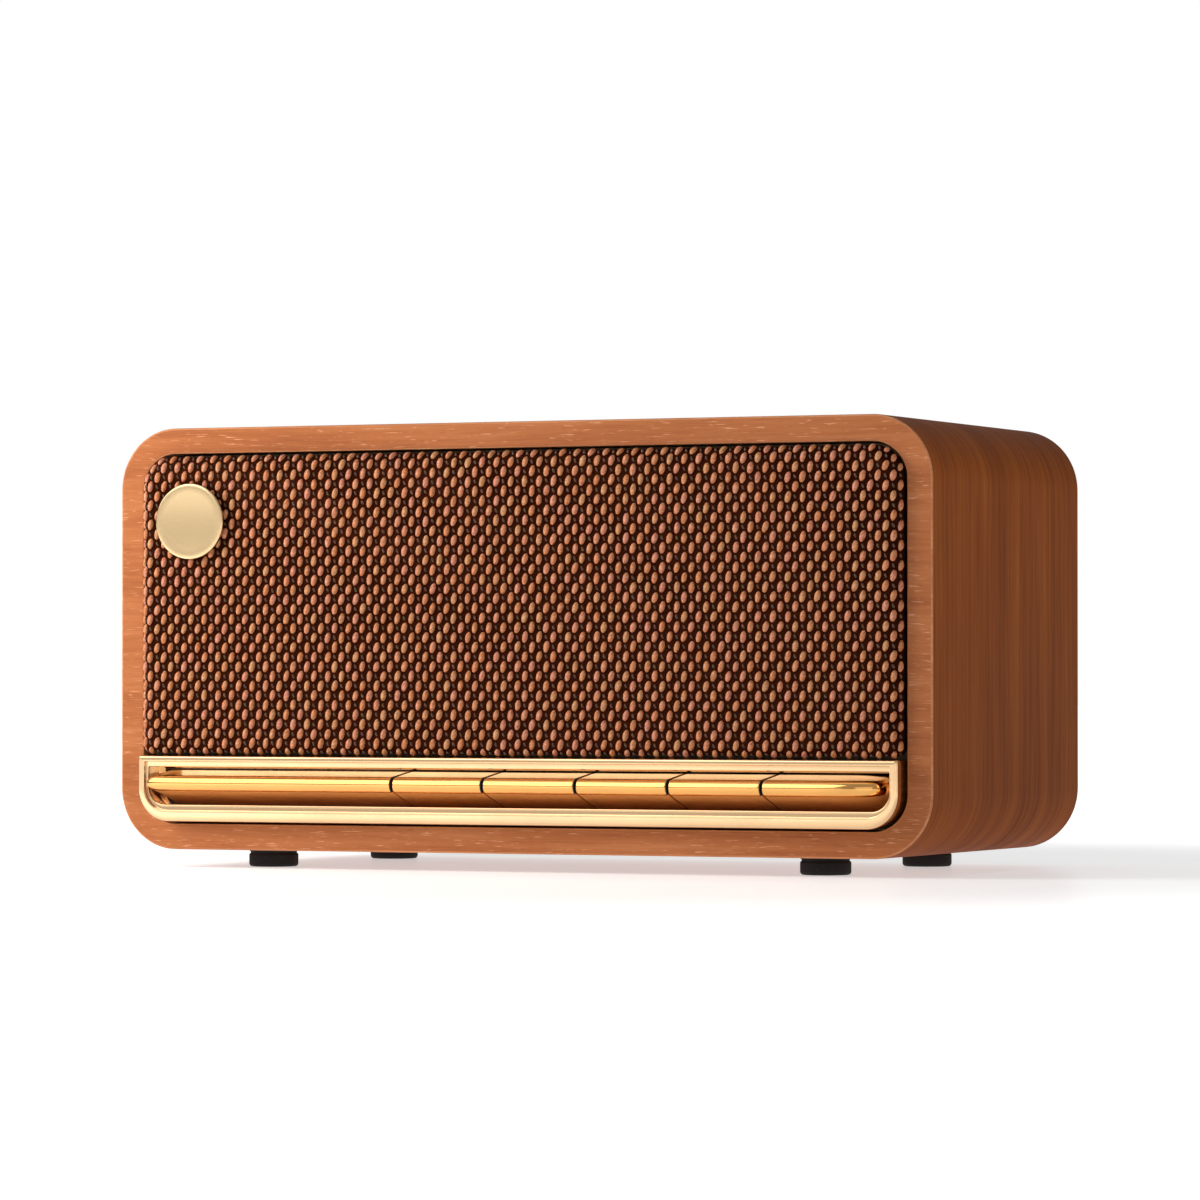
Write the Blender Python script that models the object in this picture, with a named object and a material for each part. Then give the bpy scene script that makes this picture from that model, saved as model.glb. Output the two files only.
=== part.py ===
"""Retro tabletop loudspeaker: a bent-veneer wooden tube with a cloth grille, a gold key bezel with five piano keys, and two full-range drivers.

Model frame: +X to the right, +Y to the back, +Z up, metres. The origin is on the
standing plane, under the middle of the whole part. Depths inside the functions
are given as P, the distance in millimetres in front of the wood's front face
(negative values lie behind it); X and Z are plain model millimetres.
"""

import math

import bmesh
import bpy

MM = 0.001

# ---------------------------------------------------------------- dimensions (mm)
CABINET_WIDTH = 268.0
CABINET_HEIGHT = 129.5  # the wood alone; the feet add FOOT_HEIGHT
CABINET_DEPTH = 126.0
CABINET_RADIUS = 18.8
WALL = 7.9
EDGE_EASE = 0.5
FOOT_HEIGHT = 5.5
FOOT_RADIUS = 7.6
FOOT_X, FOOT_INSET = 92.0, 21.3  # foot centre: across, and in from each wood edge
GAP = 0.3  # between pieces that touch

FRONT_Y = -59.0  # the wood's front face, so that the whole part is centred on Y = 0
KEY_PROUD = 8.0  # key nose in front of the wood
BEZEL_PROUD = 5.5
BEZEL_HALF_WIDTH, BEZEL_BOTTOM, BEZEL_TOP = 125.1, 14.2, 34.4
BEZEL_CORNER = 10.0
RIM_SIDE, RIM_TOP, RIM_BOTTOM = 2.2, 1.8, 3.3
LIP_SIDE, LIP_TOP, LIP_BOTTOM, LIP_SET_BACK = 0.8, 1.7, 1.9, 1.2
BEZEL_LIP_BACK, BEZEL_BACK = -1.0, -6.7

KEY_SEAMS = (-37.1, -6.9, 23.6, 53.5, 83.3)
KEY_NAMES = (
    "key_power",
    "key_source",
    "key_volume_down",
    "key_play_pause",
    "key_volume_up",
)
SEAM_GAP = 0.6
BAR_HALF_WIDTH = 121.5
BAR_END_PLAN, BAR_END_DEPTH = 14.0, 5.0  # elliptical ends, seen from above
BAR_END_LOW, BAR_END_HIGH = 6.5, 3.5  # end corners, seen from the front
NOSE_P, NOSE_Z, NOSE_RADIUS = 5.6, 25.9, 2.4
TOP_SLOPE, BOTTOM_SLOPE = 8.0, 18.0  # degrees, behind the nose
BAR_MIDDLE_Z = 25.4
KEY_SKIRT_P = -9.5
KEY_ARM_WIDTH = 12.0
PIVOT_P, PIVOT_Z, PIVOT_RADIUS = -30.0, 26.0, 1.5

CLOTH_PROUD = 4.8
CLOTH_HALF_WIDTH, CLOTH_BOTTOM, CLOTH_TOP = 125.8, 34.7, 126.8
CLOTH_THICKNESS = 1.6
CLOTH_SKIRT_P = -3.0
BADGE_X, BADGE_Z, BADGE_RADIUS = -106.8, 106.1, 11.6

BAFFLE_FRONT, BAFFLE_BACK = -7.0, -13.0
DRIVER_X, DRIVER_Z = 72.0, 80.9
DRIVER_HOLE = 24.8

PANEL_FRONT, PANEL_BACK = -119.0, -124.5
PORT_X, PORT_Z = 0.0, 86.0
IO_Z = 35.0

STEPS = 20  # round pieces


# ---------------------------------------------------------------- helpers
def point(x, p, z):
    return (x * MM, (FRONT_Y - p) * MM, z * MM)


def material(name, colour, roughness, metallic=0.0):
    made = bpy.data.materials.get(name)
    if made is None:
        made = bpy.data.materials.new(name)
        made.use_nodes = True
        shader = made.node_tree.nodes["Principled BSDF"]
        shader.inputs["Base Color"].default_value = (*colour, 1.0)
        shader.inputs["Roughness"].default_value = roughness
        shader.inputs["Metallic"].default_value = metallic
    return made


WOOD = ("walnut_veneer", (0.42, 0.17, 0.07), 0.45)
PANEL = ("stained_panel", (0.06, 0.035, 0.025), 0.6)
GOLD = ("polished_gold", (0.83, 0.56, 0.24), 0.2, 1.0)
SATIN = ("satin_gold", (0.83, 0.62, 0.34), 0.4, 1.0)
CLOTH = ("woven_cloth", (0.30, 0.13, 0.07), 0.9)
BLACK = ("black_plastic", (0.02, 0.02, 0.02), 0.5)
RUBBER = ("black_rubber", (0.015, 0.014, 0.013), 0.85)
STEEL = ("zinc_steel", (0.6, 0.6, 0.6), 0.35, 1.0)
BOARD = ("circuit_board", (0.01, 0.12, 0.05), 0.5)
PAPER = ("cone_paper", (0.03, 0.03, 0.03), 0.8)
COPPER = ("copper_winding", (0.8, 0.35, 0.18), 0.35, 1.0)
WRAP = ("battery_wrap", (0.03, 0.10, 0.30), 0.45)
MDF = ("fibreboard", (0.30, 0.20, 0.12), 0.8)


def finish(name, bm, look, smooth=True, origin=None):
    """Turns a bmesh into a named object, faces outwards, with its origin where asked."""
    bmesh.ops.recalc_face_normals(bm, faces=bm.faces)
    mesh = bpy.data.meshes.new(name)
    bm.to_mesh(mesh)
    bm.free()
    obj = bpy.data.objects.new(name, mesh)
    bpy.context.scene.collection.objects.link(obj)
    mesh.materials.append(material(*look))
    if smooth:
        mesh.shade_smooth()
        mesh.set_sharp_from_angle(angle=math.radians(35))
    if origin is not None:
        for v in mesh.vertices:
            v.co.x -= origin[0]
            v.co.y -= origin[1]
            v.co.z -= origin[2]
        obj.location = origin
    return obj


def skin(name, loops, look, ring=False, smooth=True, origin=None):
    """Joins loops of equal length, one after the other. A ring closes on itself, and anything else is capped at both ends."""
    bm = bmesh.new()
    rows = [[bm.verts.new(co) for co in loop] for loop in loops]
    pairs = list(zip(rows, rows[1:]))
    if ring:
        pairs.append((rows[-1], rows[0]))
    else:
        bm.faces.new(rows[0])
        bm.faces.new(list(reversed(rows[-1])))
    for a, b in pairs:
        n = len(a)
        for i in range(n):
            j = (i + 1) % n
            bm.faces.new((a[i], b[i], b[j], a[j]))
    return finish(name, bm, look, smooth, origin)


def rounded(x0, x1, z0, z1, radii, steps=9):
    """A rounded rectangle as (x, z) points: bottom left, bottom right, top right and top left radius."""
    if not isinstance(radii, tuple):
        radii = (radii,) * 4
    out = []
    corners = ((x0, z0, 1, 1, 180), (x1, z0, -1, 1, 270), (x1, z1, -1, -1, 0), (x0, z1, 1, -1, 90))
    for (cx, cz, sx, sz, start), r in zip(corners, radii):
        r = max(r, 0.05)
        for i in range(steps):
            a = math.radians(start + 90.0 * i / (steps - 1))
            out.append((cx + sx * r + r * math.cos(a), cz + sz * r + r * math.sin(a)))
    return out


def at(outline, p):
    return [point(x, p, z) for x, z in outline]


def plate(name, outline, p_front, p_back, look):
    return skin(name, [at(outline, p_front), at(outline, p_back)], look)


def turned(name, profile, look, x=0.0, z=0.0, upright=False, y=0.0, ring=False, steps=STEPS):
    """Turns a profile of (radius, position) round an axis: along Y at x, z, with positions as P, or upright at x, y."""
    bm = bmesh.new()
    rows = []
    for r, t in profile:
        row = []
        for i in range(steps if r > 0 else 1):
            a = 2 * math.pi * i / steps
            u, v = r * math.cos(a), r * math.sin(a)
            if upright:
                row.append(bm.verts.new(((x + u) * MM, (y + v) * MM, t * MM)))
            else:
                row.append(bm.verts.new(point(x + u, t, z + v)))
        rows.append(row)
    pairs = list(zip(rows, rows[1:]))
    if ring:
        pairs.append((rows[-1], rows[0]))
    for a, b in pairs:
        for i in range(steps):
            j = (i + 1) % steps
            corners = [a[i % len(a)], b[i % len(b)], b[j % len(b)], a[j % len(a)]]
            unique = list(dict.fromkeys(corners))
            if len(unique) > 2:
                bm.faces.new(unique)
    return finish(name, bm, look)


def block(name, x0, x1, p0, p1, z0, z1, look, smooth=False):
    outline = [(x0, z0), (x1, z0), (x1, z1), (x0, z1)]
    return skin(name, [at(outline, p0), at(outline, p1)], look, smooth=smooth)


def rod_x(name, x0, x1, p, z, r, look, steps=12):
    loops = []
    for x in (x0, x1):
        loops.append(
            [
                point(x, p + r * math.cos(2 * math.pi * i / steps), z + r * math.sin(2 * math.pi * i / steps))
                for i in range(steps)
            ]
        )
    return skin(name, loops, look)


def rod_y(name, x, z, r, p0, p1, look, steps=20):
    return turned(name, [(0, p0), (r, p0), (r, p1), (0, p1)], look, x, z, steps=steps)


def helper(obj):
    """A cutter or an added shape: kept for its Boolean, left out of the part."""
    obj.hide_render = True
    obj.display_type = "WIRE"
    return obj


def combine(obj, other, operation):
    helper(other)
    modifier = obj.modifiers.new(other.name, "BOOLEAN")
    modifier.operation = operation
    modifier.solver = "EXACT"
    modifier.object = other


def cut(obj, other):
    combine(obj, other, "DIFFERENCE")


def add(obj, other):
    combine(obj, other, "UNION")


# ---------------------------------------------------------------- cabinet
def build_cabinet():
    half, low, high = CABINET_WIDTH / 2, FOOT_HEIGHT, FOOT_HEIGHT + CABINET_HEIGHT
    e = EDGE_EASE
    outer = rounded(-half, half, low, high, CABINET_RADIUS)
    eased = rounded(-half + e, half - e, low + e, high - e, CABINET_RADIUS - e)
    inner = rounded(-half + WALL, half - WALL, low + WALL, high - WALL, CABINET_RADIUS - WALL)
    skin(
        "cabinet_shell",
        [
            at(eased, 0),
            at(outer, -e),
            at(outer, -CABINET_DEPTH + e),
            at(eased, -CABINET_DEPTH),
            at(inner, -CABINET_DEPTH),
            at(inner, 0),
        ],
        WOOD,
        ring=True,
    )
    inside = half - WALL - GAP
    for side, name in ((-1, "rear_batten_left"), (1, "rear_batten_right")):
        x0, x1 = sorted((side * inside, side * (inside - 8)))
        batten = block(name, x0, x1, PANEL_FRONT + GAP + 7.7, PANEL_FRONT + GAP, 30, 110, MDF)
        for z in (38, 102):
            cut(batten, rod_y(f"cut_{name}_{z}", side * SCREW_X, z, 1.9, -100, -121, MDF, 12))
    for name, x, y in (
        ("foot_front_left", -FOOT_X, FRONT_Y + FOOT_INSET),
        ("foot_front_right", FOOT_X, FRONT_Y + FOOT_INSET),
        ("foot_rear_left", -FOOT_X, FRONT_Y + CABINET_DEPTH - FOOT_INSET),
        ("foot_rear_right", FOOT_X, FRONT_Y + CABINET_DEPTH - FOOT_INSET),
    ):
        r, top = FOOT_RADIUS, FOOT_HEIGHT - GAP
        turned(
            name,
            [(0, 0), (r - 0.8, 0), (r, 0.8), (r, top), (0, top)],
            RUBBER,
            x,
            y=y,
            upright=True,
        )


SCREW_X = CABINET_WIDTH / 2 - WALL - GAP - 4.3


# ---------------------------------------------------------------- front
def build_front():
    half, low, high = CABINET_WIDTH / 2 - WALL, FOOT_HEIGHT + WALL, FOOT_HEIGHT + CABINET_HEIGHT - WALL
    g = 0.4
    outline = rounded(-half + g, half - g, low + g, high - g, CABINET_RADIUS - WALL - g, 6)
    baffle = plate("front_baffle", outline, BAFFLE_FRONT, BAFFLE_BACK, MDF)
    for side in (-1, 1):
        cut(baffle, rod_y(f"cut_driver_{side}", side * DRIVER_X, DRIVER_Z, DRIVER_HOLE, -5, -15, MDF, STEPS))
    cut(baffle, block("cut_key_window", KEY_SEAMS[0] - 1.4, 122.6, -5, -15, 17.2, 32.3, MDF))

    # Cloth frame: a ring with a centre rib and four pegs in the baffle.
    t = CLOTH_THICKNESS + GAP
    x, z0, z1 = CLOTH_HALF_WIDTH - t, CLOTH_BOTTOM + t, CLOTH_TOP - t
    front, back, w = CLOTH_PROUD - t, -2.0, 8.0
    outer = rounded(-x, x, z0, z1, (1, 1, 8.8, 8.8), 6)
    inner = rounded(-x + w, x - w, z0 + w, z1 - w, (1, 1, 3, 3), 6)
    frame = skin(
        "grille_frame",
        [at(outer, front), at(outer, back), at(inner, back), at(inner, front)],
        BLACK,
        ring=True,
    )
    add(frame, block("add_rib", -4, 4, front, back, z0 + 3, z1 - 3, BLACK))
    for i, (px, pz) in enumerate(((-x + 4, 56), (x - 4, 56), (-x + 4, 104), (x - 4, 104))):
        add(frame, rod_y(f"add_peg_{i}", px, pz, 2.0, front - 2, -11, BLACK, 12))
        cut(baffle, rod_y(f"cut_peg_{i}", px, pz, 2.4, -5, -15, BLACK, 12))

    # Cloth: a shallow tray pulled over the frame, its edges rolled back.
    loops = []
    for inset, p in ((4.2, 4.8), (2.2, 4.45), (0.9, 3.6), (0.15, 2.1), (0.0, 0.6), (0.0, CLOTH_SKIRT_P)):
        r = CABINET_RADIUS - WALL - 0.3 - inset
        loops.append(
            at(
                rounded(
                    -CLOTH_HALF_WIDTH + inset,
                    CLOTH_HALF_WIDTH - inset,
                    CLOTH_BOTTOM + inset * 0.6,
                    CLOTH_TOP - inset,
                    (0.9, 0.9, r, r),
                    6,
                ),
                p,
            )
        )
    inside = rounded(
        -CLOTH_HALF_WIDTH + CLOTH_THICKNESS,
        CLOTH_HALF_WIDTH - CLOTH_THICKNESS,
        CLOTH_BOTTOM + CLOTH_THICKNESS,
        CLOTH_TOP - CLOTH_THICKNESS,
        (0.9, 0.9, 9.0, 9.0),
        6,
    )
    loops += [at(inside, CLOTH_SKIRT_P), at(inside, CLOTH_PROUD - CLOTH_THICKNESS)]
    skin("grille_cloth", loops, CLOTH)

    # Badge: a plain, slightly domed disc, stuck to the cloth.
    p = CLOTH_PROUD + GAP
    r = BADGE_RADIUS
    turned(
        "badge_disc",
        [(0, p), (r - 0.4, p), (r, p + 0.35), (r, p + 0.8), (r - 0.5, p + 1.25), (r * 0.6, p + 1.6), (0, p + 1.7)],
        SATIN,
        BADGE_X,
        BADGE_Z,
        steps=28,
    )

    # Bezel: an outer rim with a lip set back inside it, square above and round below.
    def band(side, top, bottom, corner):
        return rounded(
            -BEZEL_HALF_WIDTH + side,
            BEZEL_HALF_WIDTH - side,
            BEZEL_BOTTOM + bottom,
            BEZEL_TOP - top,
            (corner, corner, 0.3, 0.3),
            8,
        )

    e = 0.35
    outer, eased = band(0, 0, 0, BEZEL_CORNER), band(e, e, e, BEZEL_CORNER - e)
    rim = band(RIM_SIDE, RIM_TOP, RIM_BOTTOM, BEZEL_CORNER - 2.6)
    rim_eased = band(RIM_SIDE - 0.25, RIM_TOP - 0.25, RIM_BOTTOM - 0.25, BEZEL_CORNER - 2.4)
    lip = band(RIM_SIDE + LIP_SIDE, RIM_TOP + LIP_TOP, RIM_BOTTOM + LIP_BOTTOM, BEZEL_CORNER - 4.5)
    step = BEZEL_PROUD - LIP_SET_BACK
    skin(
        "key_bezel",
        [
            at(outer, BEZEL_PROUD - e),
            at(eased, BEZEL_PROUD),
            at(rim_eased, BEZEL_PROUD),
            at(rim, BEZEL_PROUD - 0.25),
            at(rim, step),
            at(lip, step),
            at(lip, BEZEL_LIP_BACK),
            at(rim, BEZEL_LIP_BACK),
            at(rim, BEZEL_BACK),
            at(outer, BEZEL_BACK),
        ],
        GOLD,
        ring=True,
    )


# ---------------------------------------------------------------- keys
def bar_section(back):
    """The bar's section as (p, z) points: a round nose with two straight flanks."""
    up, down = math.radians(90 - TOP_SLOPE), math.radians(-90 + BOTTOM_SLOPE)
    points, n = [], 7
    for i in range(n):
        a = up + (down - up) * i / (n - 1)
        points.append((NOSE_P + NOSE_RADIUS * math.cos(a), NOSE_Z + NOSE_RADIUS * math.sin(a)))
    top, low = points[0], points[-1]
    points.insert(0, (back, top[1] + (top[0] - back) * math.tan(math.radians(TOP_SLOPE))))
    points.append((back, low[1] - (low[0] - back) * math.tan(math.radians(BOTTOM_SLOPE))))
    return points


def bar_loop(x, back, end):
    """One section of the bar. Near its end, at x = end, the nose draws back and the section shrinks, so the end is round from above and from the front."""
    section = bar_section(back)
    set_back = low = high = 0.0
    if end is not None:
        left = abs(end) - abs(x)
        u = max(0.0, 1 - left / BAR_END_PLAN)
        set_back = BAR_END_DEPTH * (1 - math.sqrt(max(0.0, 1 - u * u)))
        for i, r in enumerate((BAR_END_LOW, BAR_END_HIGH)):
            v = max(0.0, 1 - left / r)
            drawn = r * (1 - math.sqrt(max(0.0, 1 - v * v)))
            if i == 0:
                low = drawn
            else:
                high = drawn
    zs = [z for _, z in section]
    z_low, z_high = min(zs), max(zs)
    out = []
    for p, z in section:
        if p > back + 0.01:
            p = max(p - set_back, back + 1.0)
        if z > BAR_MIDDLE_Z:
            z = BAR_MIDDLE_Z + (z - BAR_MIDDLE_Z) * (z_high - BAR_MIDDLE_Z - high) / (z_high - BAR_MIDDLE_Z)
        else:
            z = BAR_MIDDLE_Z - (BAR_MIDDLE_Z - z) * (BAR_MIDDLE_Z - z_low - low) / (BAR_MIDDLE_Z - z_low)
        out.append(point(x, p, z))
    return out


def bar_piece(name, x0, x1, back, look, origin=None):
    """A length of the bar. An end at the bar's own end is rounded."""
    stations = [0.0]
    for u in (0.35, 0.6, 0.8, 0.93, 1.0):
        stations.append(u)
    loops = []
    if abs(x0) == BAR_HALF_WIDTH:
        loops += [bar_loop(x0 + BAR_END_PLAN * (1 - u), back, x0) for u in reversed(stations)]
    else:
        loops.append(bar_loop(x0, back, None))
    if abs(x1) == BAR_HALF_WIDTH:
        loops += [bar_loop(x1 - BAR_END_PLAN * (1 - u), back, x1) for u in stations]
    else:
        loops.append(bar_loop(x1, back, None))
    return skin(name, loops, look, origin=origin)


def coil(name, x, p, z0, z1, radius, wire, turns, look):
    """A compression spring standing on Z: a bevelled curve along a helix with capped ends."""
    curve = bpy.data.curves.new(name, "CURVE")
    curve.dimensions = "3D"
    curve.bevel_depth = wire * MM
    curve.bevel_resolution = 1
    curve.use_fill_caps = True
    spline = curve.splines.new("POLY")
    n = int(turns * 7)
    spline.points.add(n)
    for i in range(n + 1):
        a = 2 * math.pi * turns * i / n
        t = i / n
        co = point(x + radius * math.cos(a), p + radius * math.sin(a), z0 + wire + (z1 - z0 - 2 * wire) * t)
        spline.points[i].co = (*co, 1.0)
    obj = bpy.data.objects.new(name, curve)
    bpy.context.scene.collection.objects.link(obj)
    curve.materials.append(material(*look))
    return obj


def build_keys():
    bar_piece("trim_bar", -BAR_HALF_WIDTH, KEY_SEAMS[0] - SEAM_GAP / 2, BAFFLE_FRONT + GAP, GOLD)
    edges = [*KEY_SEAMS, None]
    middles = []
    for i, name in enumerate(KEY_NAMES):
        x0 = edges[i] + SEAM_GAP / 2
        x1 = BAR_HALF_WIDTH if edges[i + 1] is None else edges[i + 1] - SEAM_GAP / 2
        middle = edges[i] + 15.0
        middles.append(middle)
        key = bar_piece(name, x0, x1, KEY_SKIRT_P, GOLD, point(middle, PIVOT_P, PIVOT_Z))
        w = KEY_ARM_WIDTH / 2
        add(key, block(f"add_{name}_arm", middle - w, middle + w, KEY_SKIRT_P + 2, PIVOT_P, 24.6, 28.4, GOLD))
        add(key, rod_x(f"add_{name}_boss", middle - w, middle + w, PIVOT_P, PIVOT_Z, 3.6, GOLD))
        add(key, block(f"add_{name}_nub", middle - 1.5, middle + 1.5, -15.5, -18.5, 23.3, 26, GOLD))
        cut(key, rod_x(f"cut_{name}_bore", middle - 10, middle + 10, PIVOT_P, PIVOT_Z, PIVOT_RADIUS + GAP, GOLD, 12))

    # Bracket: a base on the cabinet's floor with an ear at each side of every key's arm.
    floor = FOOT_HEIGHT + WALL + GAP
    bracket = block("key_bracket", -44, 117.5, -13.6, -36, floor, floor + 1.6, BLACK)
    ears = (-40.5, -6.9, 23.6, 53.5, 83.3, 113.5)
    for i, x in enumerate(ears):
        add(bracket, block(f"add_ear_{i}", x - 1.2, x + 1.2, -25.5, -34.5, floor + 0.8, 30.0, BLACK))
    cut(bracket, rod_x("cut_bracket_bore", -50, 120, PIVOT_P, PIVOT_Z, PIVOT_RADIUS + GAP, BLACK, 12))
    rod_x("key_pivot_shaft", -43, 116.5, PIVOT_P, PIVOT_Z, PIVOT_RADIUS, STEEL, 12)

    board_z = floor + 1.6 + GAP
    block("key_switch_board", -43, 116.5, -13.8, -21.4, board_z, board_z + 1.6, BOARD)
    switch_z = board_z + 1.6 + GAP
    for i, middle in enumerate(middles):
        body = block(f"key_switch_{i + 1}", middle - 3, middle + 3, -14, -20, switch_z, switch_z + 3.5, BLACK)
        stem = turned(
            f"add_switch_stem_{i}",
            [(0, switch_z + 2), (1.7, switch_z + 2), (1.7, 22.8), (0, 22.8)],
            BLACK,
            middle,
            y=FRONT_Y + 17,
            upright=True,
            steps=10,
        )
        add(body, stem)
        coil(f"key_spring_{i + 1}", middle, -24.3, board_z, 24.25, 1.9, 0.25, 3.5, STEEL)


# ---------------------------------------------------------------- drivers
def build_drivers():
    for side, word in ((-1, "left"), (1, "right")):
        x, z = side * DRIVER_X, DRIVER_Z
        basket = turned(
            f"driver_basket_{word}",
            [(22.6, -5.2), (28, -5.2), (28, -6.7), (24.4, -6.7), (24.0, -10), (17.6, -21.3), (17.6, -22.5), (12.4, -22.5), (12.4, -21.3), (16.2, -21.3), (22.6, -10)],
            BLACK,
            x,
            z,
            ring=True,
        )
        cut(basket, block(f"cut_basket_{word}_a", x - 7.5, x + 7.5, -10.5, -20.6, z - 40, z + 40, BLACK))
        cut(basket, block(f"cut_basket_{word}_b", x - 40, x + 40, -10.5, -20.6, z - 7.5, z + 7.5, BLACK))
        turned(
            f"driver_magnet_{word}",
            [(0, -20.5), (9.0, -20.5), (9.0, -33), (11.4, -33), (11.4, -22.8), (19.5, -22.8), (19.5, -36), (0, -36)],
            STEEL,
            x,
            z,
        )
        turned(
            f"driver_cone_{word}",
            [(0, -9.5), (5.6, -10.5), (8.6, -12.2), (9.6, -13.4), (20, -6.0), (20, -6.9), (10.9, -14.2), (9.3, -14.2), (8.0, -12.9), (5.2, -11.5), (0, -10.6)],
            PAPER,
            x,
            z,
        )
        turned(
            f"voice_coil_{word}",
            [(9.8, -14.5), (10.6, -14.5), (10.6, -30), (9.8, -30)],
            COPPER,
            x,
            z,
            ring=True,
        )
        profile = [(19.2, -5.6), (19.2, -5.0), (20.2, -5.0)]
        for r, angles in ((1.75, (135, 90, 45)), (1.2, (45, 90, 135))):
            if r == 1.2:
                profile += [(23.6, -4.3), (25.4, -4.3), (25.4, -4.9), (23.1, -4.9)]
            profile += [(21.9 + r * math.cos(math.radians(a)), -4.9 + r * math.sin(math.radians(a))) for a in angles]
        profile += [(20.6, -5.6)]
        turned(f"driver_surround_{word}", profile, RUBBER, x, z, ring=True)


# ---------------------------------------------------------------- rear
def build_rear():
    half, low, high = CABINET_WIDTH / 2 - WALL, FOOT_HEIGHT + WALL, FOOT_HEIGHT + CABINET_HEIGHT - WALL
    g = 0.4
    panel = plate(
        "rear_panel",
        rounded(-half + g, half - g, low + g, high - g, CABINET_RADIUS - WALL - g, 6),
        PANEL_FRONT,
        PANEL_BACK,
        PANEL,
    )
    cut(panel, rod_y("cut_port", PORT_X, PORT_Z, 20.3, -115, -128, PANEL, STEPS))
    cut(panel, block("cut_io", -30, 30, -115, -128, 28.5, 41.5, PANEL))
    for n, (side, z) in enumerate(((-1, 38), (1, 38), (-1, 102), (1, 102))):
        x = side * SCREW_X
        cut(panel, rod_y(f"cut_panel_screw_{n}", x, z, 1.9, -115, -128, PANEL, 12))
        b = PANEL_BACK - GAP
        turned(
            f"rear_screw_{n + 1}",
            [(0, PANEL_FRONT + 6), (0.5, PANEL_FRONT + 5.4), (1.5, PANEL_FRONT + 3.5), (1.5, b), (3.0, b), (3.0, b - 0.5), (2.3, b - 1.1), (1.2, b - 1.2), (1.2, b - 0.4), (0, b - 0.4)],
            STEEL,
            x,
            z,
            steps=12,
        )
    turned(
        "reflex_port",
        [(14.5, -70), (16.5, -70), (16.5, -106), (20, -117), (20, -124.8), (25, -124.8), (25, -125.6), (24.6, -126), (20.6, -126), (18.6, -123.5), (15.8, -115), (14.5, -105)],
        BLACK,
        PORT_X,
        PORT_Z,
        ring=True,
        steps=24,
    )

    io = plate("io_plate", rounded(-34, 34, IO_Z - 11, IO_Z + 11, 3, 5), -124.8, -125.9, BLACK)

    def socket(name, x, z, half_w, half_h, radius, wall, back, look):
        outer = rounded(x - half_w, x + half_w, z - half_h, z + half_h, radius, 5)
        inner = rounded(
            x - half_w + wall, x + half_w - wall, z - half_h + wall, z + half_h - wall, max(radius - wall, 0.1), 5
        )
        made = skin(name, [at(outer, back), at(outer, -125.8), at(inner, -125.8), at(inner, back - 1.5)], look)
        grown = rounded(x - half_w - GAP, x + half_w + GAP, z - half_h - GAP, z + half_h + GAP, radius + GAP, 5)
        cut(io, plate(f"cut_{name}", grown, -120, -130, BLACK))
        return made

    socket("usb_socket", -20, 33.1, 4.7, 1.9, 1.85, 0.6, -116, STEEL)
    socket("card_slot", 19, 32.7, 7.2, 1.5, 0.4, 0.6, -116, BLACK)
    turned(
        "aux_jack",
        [(0, -112), (4.0, -112), (4.0, -125.8), (1.9, -125.8), (1.9, -113), (0, -113)],
        BLACK,
        0,
        35.2,
        steps=20,
    )
    cut(io, rod_y("cut_aux", 0, 35.2, 4.3, -120, -130, BLACK, 20))
    block("io_board", -29, 29, -98, -118.7, 29.2, 30.8, BOARD)

    # Electronics on the floor behind the keys.
    floor = FOOT_HEIGHT + WALL + GAP
    board = block("main_board", -20, 100, -48, -92, 19, 20.6, BOARD)
    for i, (x, p) in enumerate(((-15, -53), (95, -53), (-15, -87), (95, -87))):
        post = turned(
            f"add_post_{i}",
            [(0, floor), (3, floor), (3, 20), (0, 20)],
            BOARD,
            x,
            y=FRONT_Y - p,
            upright=True,
            steps=12,
        )
        add(board, post)
    outline = [(40, 20.9), (72, 20.9), (72, 33)]
    for i in range(5):
        right = 72 - 6.8 * i
        outline += [(right - 2, 33), (right - 2, 23.5), (right - 6.8, 23.5), (right - 6.8, 33)]
    outline = outline[:-2] + [(40, 23.5)]
    skin("amp_heatsink", [at(outline, -56), at(outline, -82)], STEEL, smooth=False)
    for i, x in enumerate((2, 20)):
        turned(
            f"capacitor_{i + 1}",
            [(0, 20.9), (6, 20.9), (6, 41), (5.4, 41.6), (0, 41.6)],
            BLACK,
            x,
            y=FRONT_Y + 70,
            upright=True,
            steps=20,
        )
    loops = []
    for x in (-112, -42):
        loop = []
        for centre, start in ((9.75, -90), (-9.75, 90)):
            for k in range(9):
                a = math.radians(start + 180 * k / 8)
                loop.append(point(x, -71 + centre + 9.8 * math.cos(a), floor + 9.8 + 9.8 * math.sin(a)))
        loops.append(loop)
    skin("battery_pack", loops, WRAP)


def main():
    for obj in list(bpy.data.objects):
        bpy.data.objects.remove(obj, do_unlink=True)
    build_cabinet()
    build_front()
    build_keys()
    build_drivers()
    build_rear()


main()
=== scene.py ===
"""The looks of the retro tabletop loudspeaker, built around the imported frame.

Model frame: +X right, +Y back, +Z up, metres. Lengths in this file are millimetres
unless a name says otherwise, and P is the distance in front of the wood's front face.
"""

import math

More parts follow.
